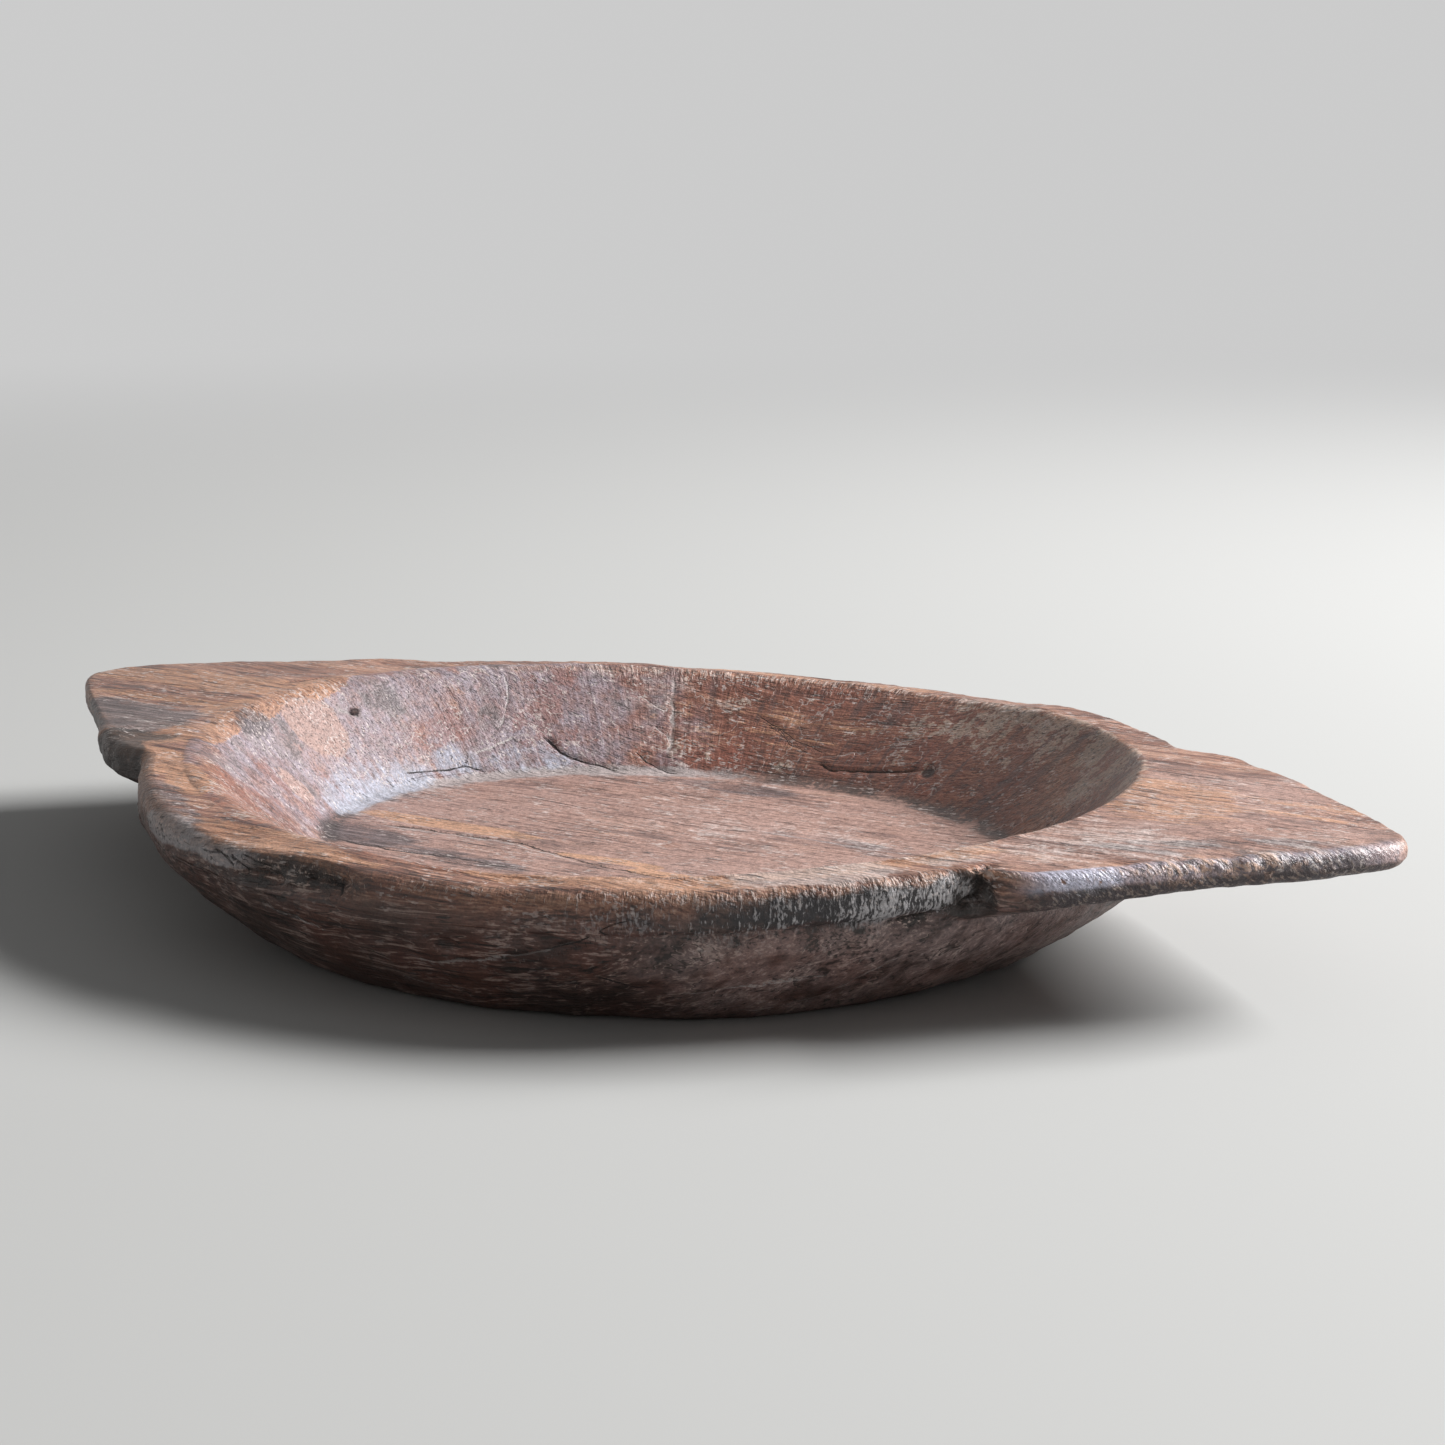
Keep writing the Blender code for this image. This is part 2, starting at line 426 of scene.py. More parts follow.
class CarvedBowl:
    """Builds the bowl's carved surface and its mesh."""

    def __init__(self, form: BowlForm, layout: RingLayout) -> None:
        """Keep the form and how finely it is laid out.

        Args:
            form: The plain form.
            layout: Numbers of rings and stations.
        """
        self.form = form
        self.layout = layout

    def outline_directions(self) -> Array:
        """Directions of the stations, closer together where the outline turns sharply."""
        direction = np.linspace(0.0, TAU, self.layout.outline_samples, endpoint=False)
        points = self.form.outline_radius(direction) * np.exp(1j * direction)
        steps = np.roll(points, -1) - points
        turning = np.abs(np.angle(steps / np.roll(steps, 1)))
        weight = np.abs(steps) / self.layout.station_spacing + turning / self.layout.station_turn
        travelled = np.concatenate([[0.0], np.cumsum(weight)])
        wanted = np.linspace(0.0, travelled[-1], self.layout.stations, endpoint=False)
        return np.interp(wanted, travelled, np.append(direction, TAU))

    def relaxed(self, directions: Array) -> Array:
        """Spread directions more evenly, for the rings that have no sharp turns.

        Args:
            directions: The stations' directions on the outline.

        Returns:
            The same number of directions.
        """
        uneven = directions - np.linspace(0.0, TAU, len(directions), endpoint=False)
        for _ in range(self.layout.relaxing_passes):
            uneven = (np.roll(uneven, 1) + 2.0 * uneven + np.roll(uneven, -1)) / 4.0
        return np.linspace(0.0, TAU, len(directions), endpoint=False) + uneven

    @staticmethod
    def ring(directions: Array, radius: Array, height: Union[Array, float]) -> Array:
        """A closed ring of points round the hollow's centre.

        Args:
            directions: One direction for each station.
            radius: Distances from the centre.
            height: Heights over the base.

        Returns:
            One row of three for each station.
        """
        across = radius * np.sin(directions)
        along = radius * np.cos(directions)
        return np.stack([along, across, np.broadcast_to(height, across.shape)], axis=1)

    def hollow_rings(self, directions: Array) -> List[Tuple[Zone, Array]]:
        """Rings of the inside, from the middle of the floor to the rim's inner edge.

        Args:
            directions: One direction for each station.

        Returns:
            Zone and points of each ring.
        """
        form, layout = self.form, self.layout
        floor = oval_radius(directions, form.floor_half_length, form.floor_half_width)
        mouth = oval_radius(directions, form.mouth_half_length, form.mouth_half_width)
        top = form.rim_top(mouth * np.sin(directions))
        lip = form.lip_radius(directions)
        slope_length = np.hypot(mouth - floor, top - form.floor_height)
        outward = (mouth - floor) / slope_length
        upward = (top - form.floor_height) / slope_length
        rings = []
        for share in np.linspace(0.02, 1.0, layout.floor_rings, endpoint=False) ** 0.8:
            radius = (floor - form.corner_radius) * share
            rings.append((Zone.FLOOR, self.ring(directions, radius, form.floor_height)))
        for share in shares(layout.corner_rings):
            sunk = (1.0 - share) ** 2 * form.corner_radius
            raised = share ** 2 * form.corner_radius
            height = form.floor_height + raised * upward
            rings.append((Zone.HOLLOW, self.ring(directions, floor - sunk + raised * outward, height)))
        for share in shares(layout.wall_rings)[1:-1]:
            wall_length = slope_length - form.corner_radius - lip
            climbed = form.corner_radius + wall_length * share
            height = form.floor_height + climbed * upward
            rings.append((Zone.HOLLOW, self.ring(directions, floor + climbed * outward, height)))
        for share in shares(layout.edge_rings):
            below = (1.0 - share) ** 2 * lip
            beyond = share ** 2 * lip
            radius = mouth - below * outward + beyond
            settled = (form.rim_top(radius * np.sin(directions)) - top) * share ** 2
            rings.append((Zone.HOLLOW, self.ring(directions, radius, top - below * upward + settled)))
        return rings

    def top_rings(self, inner: Array, outer: Array) -> List[Tuple[Zone, Array]]:
        """Rings of the rim's and the lugs' top.

        Args:
            inner: The ring at the mouth.
            outer: The ring at the outer edge.

        Returns:
            Zone and points of each ring between the two.
        """
        rings = []
        for share in shares(self.layout.top_rings + 1)[1:-1]:
            points = inner * (1.0 - share) + outer * share
            points[:, 2] = self.form.rim_top(points[:, 1])
            rings.append((Zone.TOP, points))
        return rings

    def band_rings(self, directions: Array) -> List[Tuple[Zone, Array]]:
        """Rings of the rim's outer edge and the lugs: round at the top edge and at the bottom edge.

        Args:
            directions: One direction for each station.

        Returns:
            Zone and points of each ring.
        """
        form, layout = self.form, self.layout
        edge = form.outline_radius(directions)
        beyond_rim = (edge - form.rim_radius(directions)) / (form.right_lug_reach - form.rim_half_length)
        thickness = form.band_thickness + (form.lug_tip_thickness - form.band_thickness) * beyond_rim
        top = form.rim_top(edge * np.sin(directions))
        radius = form.rim_edge_radius * np.clip(
            form.overhang(directions) / form.band_overhang, form.least_overhang_share, 1.0)
        upper = np.minimum(form.edge_radius(directions), thickness - radius - 0.0005)
        rings = []
        for angle in shares(layout.edge_rings) * np.pi / 2.0:
            reached = edge - upper * (1.0 - np.sin(angle))
            height = form.rim_top(reached * np.sin(directions)) - upper * (1.0 - np.cos(angle))
            rings.append((Zone.BAND, self.ring(directions, reached, height)))
        for share in shares(layout.band_rings + 1)[1:-1]:
            height = top - upper - (thickness - upper - radius) * share
            rings.append((Zone.BAND, self.ring(directions, edge, height)))
        for angle in shares(layout.edge_rings) * np.pi / 2.0:
            height = top - thickness + radius * (1.0 - np.sin(angle))
            rings.append((Zone.BAND, self.ring(directions, edge - radius * (1.0 - np.cos(angle)), height)))
        return rings

    def outside_rings(self, directions: Array, even: Array, under: Array) -> List[Tuple[Zone, Array]]:
        """Rings of the underside of the lugs, the outer wall and the base.

        Args:
            directions: The stations' directions on the outline.
            even: The stations' directions spread evenly.
            under: The lowest ring of the band.

        Returns:
            Zone and points of each ring.
        """
        form, layout = self.form, self.layout
        wall = []
        for share in shares(layout.outside_rings):
            facing = directions + (even - directions) * share
            upper = form.rim_radius(facing) - form.overhang(facing)
            base = oval_radius(facing, form.base_half_length, form.base_half_width)
            highest = form.rim_top(upper * np.sin(facing)) - form.band_thickness - form.overhang(facing)
            height = form.base_edge_radius + (highest - form.base_edge_radius) * (1.0 - share)
            swell = 1.0 - np.clip(1.0 - height / highest, 0.0, 1.0) ** form.wall_roundness
            wall.append((Zone.OUTSIDE, self.ring(facing, base + (upper - base) * swell, height)))
        rings = []
        for share in shares(layout.under_rings + 1)[1:-1]:
            rings.append((Zone.OUTSIDE, under * (1.0 - share) + wall[0][1] * share))
        rings += wall
        base = oval_radius(even, form.base_half_length, form.base_half_width)
        rings.append((Zone.OUTSIDE, self.ring(even, base, form.base_edge_radius * 0.25)))
        for share in np.linspace(1.0, 0.02, layout.base_rings):
            rings.append((Zone.BASE, self.ring(even, (base - form.base_edge_radius) * share, 0.0)))
        return rings

    def plain_surface(self) -> Surface:
        """The plain form as a grid of points, in the hollow's own frame."""
        directions = self.outline_directions()
        even = self.relaxed(directions)
        hollow = self.hollow_rings(even)
        band = self.band_rings(directions)
        top = self.top_rings(hollow[-1][1], band[0][1])
        outside = self.outside_rings(directions, even, band[-1][1])
        rings = hollow + top + band + outside
        points = np.array([ring for _, ring in rings])
        zones = np.repeat(np.array([int(zone) for zone, _ in rings])[:, None], points.shape[1], axis=1)
        surface = Surface(points, zones)
        surface.find_normals()
        return surface

    def build(self) -> bpy.types.Object:
        """Make the carved bowl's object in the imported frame."""
        surface = self.plain_surface()
        Carving(self.form, WearMap()).apply(surface)
        rings, stations = surface.points.shape[:2]
        vertices = (surface.points + self.form.centre()).reshape(-1, 3)
        ends = np.array([vertices[:stations].mean(axis=0), vertices[-stations:].mean(axis=0)])
        index = np.arange(rings * stations).reshape(rings, stations)
        after = np.roll(index, -1, axis=1)
        quads = np.stack([index[:-1], after[:-1], after[1:], index[1:]], axis=-1).reshape(-1, 4)
        first, last = rings * stations, rings * stations + 1
        fans = [(first, after[0, i], index[0, i]) for i in range(stations)]
        fans += [(last, index[-1, i], after[-1, i]) for i in range(stations)]
        mesh = bpy.data.meshes.new("carved_bowl")
        mesh.from_pydata(np.vstack([vertices, ends]).tolist(), [], quads.tolist() + fans)
        for name, values in surface.masks.items():
            layer = mesh.attributes.new(name, "FLOAT", "POINT")
            layer.data.foreach_set("value", np.append(values.reshape(-1), [0.0, 0.0]).astype(np.float32))
        mesh.shade_smooth()
        mesh.validate()
        bowl = bpy.data.objects.new("carved_bowl", mesh)
        bpy.context.scene.collection.objects.link(bowl)
        return bowl


@dataclass(frozen=True)
class SurfaceLine:
    """A crack or a scrape that follows a path over the surface, in millimetres from the hollow's centre."""

    path: Tuple[Place, ...]
    width: float = 1.0
    depth: float = 0.7

    def near(self, points: Array, margin: float) -> Array:
        """Find the points in the box round the path.

        Args:
            points: Places, one row of three each.
            margin: How much the box is larger than the path.

        Returns:
            True for each point in the box.
        """
        nodes = np.array(self.path) * MM
        inside = (points > nodes.min(axis=0) - margin) & (points < nodes.max(axis=0) + margin)
        return inside.all(axis=-1)

    def measure(self, points: Array, normals: Array) -> Tuple[Array, Array, Array]:
        """Measure how points lie to the path.

        Args:
            points: Places, one row of three each.
            normals: The way that the surface faces there.

        Returns:
            Distance to one side of the path, plain distance, and the share of the way along it.
        """
        nodes = np.array(self.path) * MM
        lengths = np.linalg.norm(np.diff(nodes, axis=0), axis=1)
        travelled = np.concatenate([[0.0], np.cumsum(lengths)])
        nearest = np.full(len(points), np.inf)
        side = np.full(len(points), np.inf)
        along = np.zeros(len(points))
        for number, length in enumerate(lengths):
            run = (nodes[number + 1] - nodes[number]) / length
            offset = points - nodes[number]
            reached = np.clip(offset @ run, 0.0, length)
            away = offset - reached[:, None] * run
            distance = np.linalg.norm(away, axis=1)
            closer = distance < nearest
            sideways = (np.cross(normals, run) * away).sum(axis=1)
            nearest = np.where(closer, distance, nearest)
            side = np.where(closer, sideways, side)
            along = np.where(closer, (travelled[number] + reached) / travelled[-1], along)
        return side, nearest, along


@dataclass(frozen=True)
class Patch:
    """A soft-edged patch on the surface, in millimetres from the hollow's centre."""

    centre: Place
    reach: Place
    strength: float = 1.0
    turn: float = 0.0

    def cover(self, points: Array, ragged: Array) -> Array:
        """How much the patch covers each point.

        Args:
            points: Places on the surface.
            ragged: Noise that makes the patch's edge uneven.

        Returns:
            From 0 outside to the patch's strength inside.
        """
        offset = points - np.array(self.centre) * MM
        turn = np.radians(self.turn)
        along = offset[..., 0] * np.cos(turn) + offset[..., 1] * np.sin(turn)
        across = offset[..., 1] * np.cos(turn) - offset[..., 0] * np.sin(turn)
        turned = np.stack([along, across, offset[..., 2]], axis=-1) / (np.array(self.reach) * MM)
        spread = np.linalg.norm(turned, axis=-1) + 0.22 * ragged
        return self.strength * (1.0 - smooth_step(spread, 0.55, 1.05))


@dataclass(frozen=True)
class WearMap:
    """Where the photographed bowl has its cracks, scrapes, chips and coloured patches."""

    painted: ClassVar[Tuple[str, ...]] = (
        "amber", "striped", "smooth", "dust_and_light", "bloom_and_sheen", "peach", "ashen_and_shade", "grime_and_shade", "chalk", "scuffed")
    cracks: Tuple[SurfaceLine, ...] = (
        SurfaceLine(((-137, 24, 21.5), (-133, 35, 21.4), (-125, 51, 21), (-117, 59, 19.5)), 1.0, 0.8),
        SurfaceLine(((-110, 84, 30), (-104, 84, 26), (-99, 83, 23), (-86, 86, 19.5), (-72, 89, 17.5)),
                    1.6, 1.1),
        SurfaceLine(((-74, 100, 23.5), (-67, 98, 20), (-61, 97, 18.3), (-50, 96, 16.9)), 0.9, 0.7),
        SurfaceLine(((-1, 117, 23), (9, 115, 22), (20, 114, 22.3), (37, 114.5, 24.4), (52, 115, 27)), 1.3,
                    0.9),
        SurfaceLine(((-36, 134, 36), (-18, 128, 31), (0, 122, 27), (6, 120, 25.5)), 0.6, 0.3),
        SurfaceLine(((-28, 130, 33), (-14, 124, 28), (-4, 120, 25)), 0.5, 0.3),
        SurfaceLine(((-118, -28, 16.5), (-92, -24.5, 16.5), (-74, -25.5, 16.5), (-50, -24, 16.5),
                    (-27, -31, 16.5), (-7, -37, 16.5), (14, -38, 16.5), (40, -44, 16.5)), 2.1, 0.6),
        SurfaceLine(((-116, -52, 16.5), (-95, -53, 16.5), (-78, -54, 16.5), (-60, -52, 16.5),
                    (-38, -54, 16.5)), 1.6, 0.4),
        SurfaceLine(((-79, -165, 45.5), (-73, -166.5, 43), (-66, -168, 41)), 1.1, 0.8),
        SurfaceLine(((-70, -167.5, 45.5), (-65, -168.5, 42.5), (-61, -169, 39)), 0.9, 0.7),
        SurfaceLine(((-64, -169, 47), (-58, -170, 45), (-51, -171, 44)), 0.9, 0.7),
        SurfaceLine(((-27, -172.4, 43.5), (-23, -172.8, 41.5), (-20, -172.4, 38)), 1.5, 1.1),
        SurfaceLine(((50, -161.5, 29.5), (58, -160, 32), (68, -158, 37), (78, -155, 41)), 0.6, 0.5),
        SurfaceLine(((62, -154, 21.5), (76, -145, 15)), 0.8, 0.4),
        SurfaceLine(((143, -110, 37), (152, -104, 38), (160, -98, 41)), 1.4, 1.2),
        SurfaceLine(((168, -90, 57), (166, -94, 53), (165, -97, 48), (164, -98, 42), (160, -98, 36)), 2.8,
                    2.2),
        SurfaceLine(((-188, 12, 56), (-183, 22, 56), (-178, 33, 55)), 0.7, 0.4),
    )
    scrapes: Tuple[SurfaceLine, ...] = (
        SurfaceLine(((-114, -30, 16.5), (-92, -27, 16.5), (-74, -28, 16.5), (-50, -27, 16.5),
                    (-27, -34, 16.5), (-7, -39.5, 16.5)), 1.8, 0.1),
        SurfaceLine(((10, -164, 19), (36, -163.5, 26), (52, -161, 30), (64, -158.5, 35)), 0.7, 0.4),
        SurfaceLine(((-77, 137, 49), (-75, 133.5, 45), (-68, 121, 36), (-62, 110, 27), (-59, 103, 21.5)),
                    2.4, 0.5),
        SurfaceLine(((-85, 121.5, 41), (-78, 121.5, 38.5), (-71, 121, 36)), 1.0, 0.3),
        SurfaceLine(((-72.5, 112.5, 31), (-65, 111, 28.5), (-62, 108, 26)), 1.2, 0.3),
        SurfaceLine(((-134.5, 95.5, 51), (-126.5, 85.5, 40.5), (-123, 73, 31)), 1.2, 0.3),
        SurfaceLine(((-116, 76, 29.5), (-121, 68, 26), (-127, 59, 22)), 1.2, 0.3),
        SurfaceLine(((0, 118, 24), (15, 123, 27.5), (22, 123.5, 28.5)), 1.1, 0.3),
        SurfaceLine(((16, 121, 27), (30, 127, 32), (43, 131, 36)), 0.8, 0.2),
        SurfaceLine(((-57, -166, 30), (-42, -168.5, 28.5), (-27, -168, 25)), 1.4, 0.3),
        SurfaceLine(((2, -165.5, 19), (14, -165, 21), (36, -164.5, 24)), 1.5, 0.4),
        SurfaceLine(((100, -133, 15), (114, -125, 18), (126, -116, 20)), 0.8, 0.2),
        SurfaceLine(((-9, -161, 10), (5, -158.5, 10), (20, -156.5, 9)), 1.0, 0.2),
        SurfaceLine(((84, -141, 15), (102, -130, 15.6), (113.4, -123.4, 17.5), (120, -119, 17.5)), 1.1,
                    0.2),
        SurfaceLine(((92, -124, 5), (102.8, -116.7, 5.6), (117.3, -108.2, 8.8), (127.3, -107, 14.7),
                    (139.3, -105.5, 23.3), (147, -100, 26)), 0.9, 0.2),
        SurfaceLine(((197, -35, 56), (204, -31, 56)), 2.2, 0.2),
        SurfaceLine(((-164, 17, 46.5), (-161.5, 20, 45), (-159, 25, 42)), 2.6, 0.2),
    )
    amber: Tuple[Patch, ...] = (
        Patch((-215, 2, 56), (75, 20, 9), 0.75, 2.0), Patch((-214, -28.5, 56), (48, 4.6, 6), 1.5, 1.5),
        Patch((-152, -103, 51), (22, 12, 6), 1.3, -42.0), Patch((108, -122, 51), (44, 10, 6), 0.9, 36.0),
        Patch((-176, -29, 54), (13, 20, 7), 1.3, -20.0), Patch((-175, 14, 54), (8, 42, 5), 1.2),
        Patch((190, 2, 56), (36, 40, 8), 0.55, -8.0), Patch((232, 16, 56), (34, 20, 8), 0.4),
        Patch((-178, -78, 53), (22, 26, 6), 0.8, -60.0), Patch((-162, -56, 54.5), (26, 9, 6), 1.2, -65.0),
        Patch((-128, -116, 52), (26, 9, 6), 1.2, -42.0), Patch((-60, -160, 49), (66, 13, 5), 0.85, -8.0),
        Patch((60, -148, 50), (58, 13, 5), 0.85, 14.0), Patch((140, -92, 53), (36, 12, 5), 0.8, 38.0),
        Patch((-20, 160, 50), (110, 10, 4), 0.6), Patch((-30, 128, 34), (70, 22, 16), 0.3),
    )
    striped: Tuple[Patch, ...] = (
        Patch((-90, -16.0, 16.5), (46, 7.5, 8), 1.0, -1.5), Patch((-8, -29, 16.5), (30, 4.0, 8), 0.9),
        Patch((38, -38, 16.5), (40, 5.0, 8), 0.9, -4.0), Patch((-30, -68, 16.5), (70, 4.0, 8), 0.7, 1.0),
    )
    # Worn patches on the right lug's top, which take the pale pink that holds part of a painted sheen
    smooth: Tuple[Patch, ...] = (
        Patch((214, -8, 56), (80, 84, 14), 0.9), Patch((176, -60, 56), (40, 40, 12), 0.55),
    )
    # Paler patches on the outer wall's near right: dust, with painted light where the window reaches that
    # side
    dust_and_light: Tuple[Patch, ...] = (
        Patch((128, -112, 20), (74, 54, 34), 1.1, 38.0), Patch((158, -60, 24), (44, 66, 34), 1.5),
    )
    # Pale bluish film on the near-left band's outer edge, with a painted sheen
    bloom_and_sheen: Tuple[Patch, ...] = (
        Patch((-104, -155, 44), (34, 16, 6), 1.0, -28.0),
        Patch((-72, -166, 43), (28, 10, 4.5), 0.8, -14.0),
    )
    peach: Tuple[Patch, ...] = (
        Patch((-160, 1, 45), (16, 18, 16), 1.0, -20.0), Patch((-138, -38, 34), (16, 12, 14), 0.5, 20.0),
    )
    # Grey weathered patches. The one on the floor's left at (-106, -44) is painted shade for the weaker light
    # on that side
    ashen_and_shade: Tuple[Patch, ...] = (
        Patch((-213, -59, 55), (54, 27, 8), 1.0), Patch((-166, -36, 50), (10, 17, 9), 0.7),
        Patch((-18, 87, 16.5), (40, 10, 8), 0.7), Patch((-60, -52, 16.5), (50, 8, 8), 0.6, -6.0),
        Patch((-106, -44, 16.5), (30, 13, 8), 0.8, -8.0), Patch((66, 30, 16.5), (60, 10, 8), 0.5, -4.0),
        Patch((-170, 38, 50), (12, 20, 8), 0.5), Patch((228, -40, 54), (60, 13, 9), 0.6, 28.0),
        Patch((-112, -148, 49), (52, 14, 12), 0.6, -38.0),
    )
    # Dark patches: painted shade at the left lug's end and near side, on the rim's near-left shoulder, in the
    # notch by the right lug and in small holes and chips, with broad faint darkening on the outer wall
    grime_and_shade: Tuple[Patch, ...] = (
        Patch((-190, -87, 50), (34, 13, 13), 1.0, 18.0), Patch((-205, -85, 44), (44, 22, 9), 1.3, 20.0),
        Patch((-232, -60, 45), (38, 22, 9), 1.3, 35.0), Patch((-262, -34, 47), (18, 26, 7), 0.9, 20.0),
        Patch((163, -97, 44), (10, 10, 12), 1.5), Patch((-180, -93, 48), (22, 13, 9), 1.4, -30.0),
        Patch((-38, -172, 43), (34, 10, 7), 0.8), Patch((17, -168, 27), (4.4, 5, 3.4), 0.75),
        Patch((53.5, 112.5, 26), (3.8, 4, 2.8), 0.85), Patch((-160, 24, 45), (1.6, 2.2, 1.4), 1.0),
        Patch((-120, -120, 26), (60, 50, 22), 0.42), Patch((-12, -170, 33), (60, 12, 8), 0.4),
        Patch((130, -128, 30), (50, 30, 14), 0.25, 38.0),
    )
    chalk: Tuple[Patch, ...] = (
        Patch((-139, 6, 20), (17, 46, 12), 1.0), Patch((-130, 50, 22), (12, 15, 8), 0.9),
        Patch((-108, 76, 21), (28, 16, 6), 0.6, 38.0), Patch((-96, 100, 31), (20, 14, 15), 0.45, 30.0),
        Patch((-124, 88, 41), (16, 14, 13), 0.35, 30.0), Patch((-166, 22, 47), (7, 8, 6), 0.7),
    )
    scuffed: Tuple[Patch, ...] = (
        Patch((188, -52, 56), (44, 42, 9), 0.65, 20.0), Patch((150, -88, 54), (30, 14, 9), 0.6, 36.0),
        Patch((70, -146, 51), (80, 18, 8), 0.35, 12.0), Patch((-40, -158, 50), (60, 14, 8), 0.25, -4.0),
        Patch((116, -121, 53), (42, 15, 6), 1.1, 40.0), Patch((60, -152, 50), (50, 8, 5), 0.5, 18.0),
        Patch((205, 10, 56), (40, 40, 9), 0.35), Patch((-20, -86, 16.5), (70, 16, 6), 0.6),
        Patch((20, 40, 16.5), (80, 40, 6), 0.45), Patch((235, -30, 56), (40, 18, 9), 0.5, 30.0),
        Patch((-70, 124, 40), (44, 24, 18), 0.5),
    )
    chips: Tuple[Patch, ...] = (
        Patch((-42, -174, 42), (32, 9, 7.5), 0.003, 4.0), Patch((-28, -174, 44), (14, 9, 5), 0.0022, 4.0),
        Patch((-56, -171, 39), (12, 9, 4), 0.0018, 10.0),
        Patch((165.5, -97.5, 45), (7, 9, 8), 0.002, -30.0),
        Patch((-160.5, 24.1, 45), (2.3, 2.6, 2.0), 0.0024),
        Patch((53.6, 112.2, 26), (4.6, 4.6, 3.6), 0.0009), Patch((17, -168, 27), (5, 5, 4), 0.001),
        Patch((-275, -8, 52), (7, 14, 6), 0.0014), Patch((-197, -80, 48), (22, 16, 9), -0.0016),
        Patch((148, -107, 37), (11, 8, 4), 0.0012, 36.0),
    )


class Survey:
    """Where each point of the plain surface lies on the bowl."""

    def __init__(self, form: BowlForm, surface: Surface) -> None:
        """Measure the surface.

        Args:
            form: The plain form.
            surface: The plain surface.
        """
        self.points = surface.points
        self.share = {zone: (surface.zones == zone).astype(float) for zone in Zone}
        self.along, self.across, self.height = (surface.points[..., axis] for axis in range(3))
        self.degrees = np.degrees(np.arctan2(self.across, self.along))
        self.radius = np.hypot(self.along, self.across)
        way = np.radians(self.degrees)
        self.mouth = oval_radius(way, form.mouth_half_length, form.mouth_half_width)
        self.floor = oval_radius(way, form.floor_half_length, form.floor_half_width)
        self.outline = form.outline_radius(way)
        self.top = form.rim_top(self.across)
        self.over_floor = self.height - form.floor_height
        self.under_top = self.top - self.height
        self.ragged = Unevenness(51).layered(self.points / np.array([0.040, 0.016, 0.016]), 3)
        self.blotched = Unevenness(52).layered(self.points / 0.014, 3)


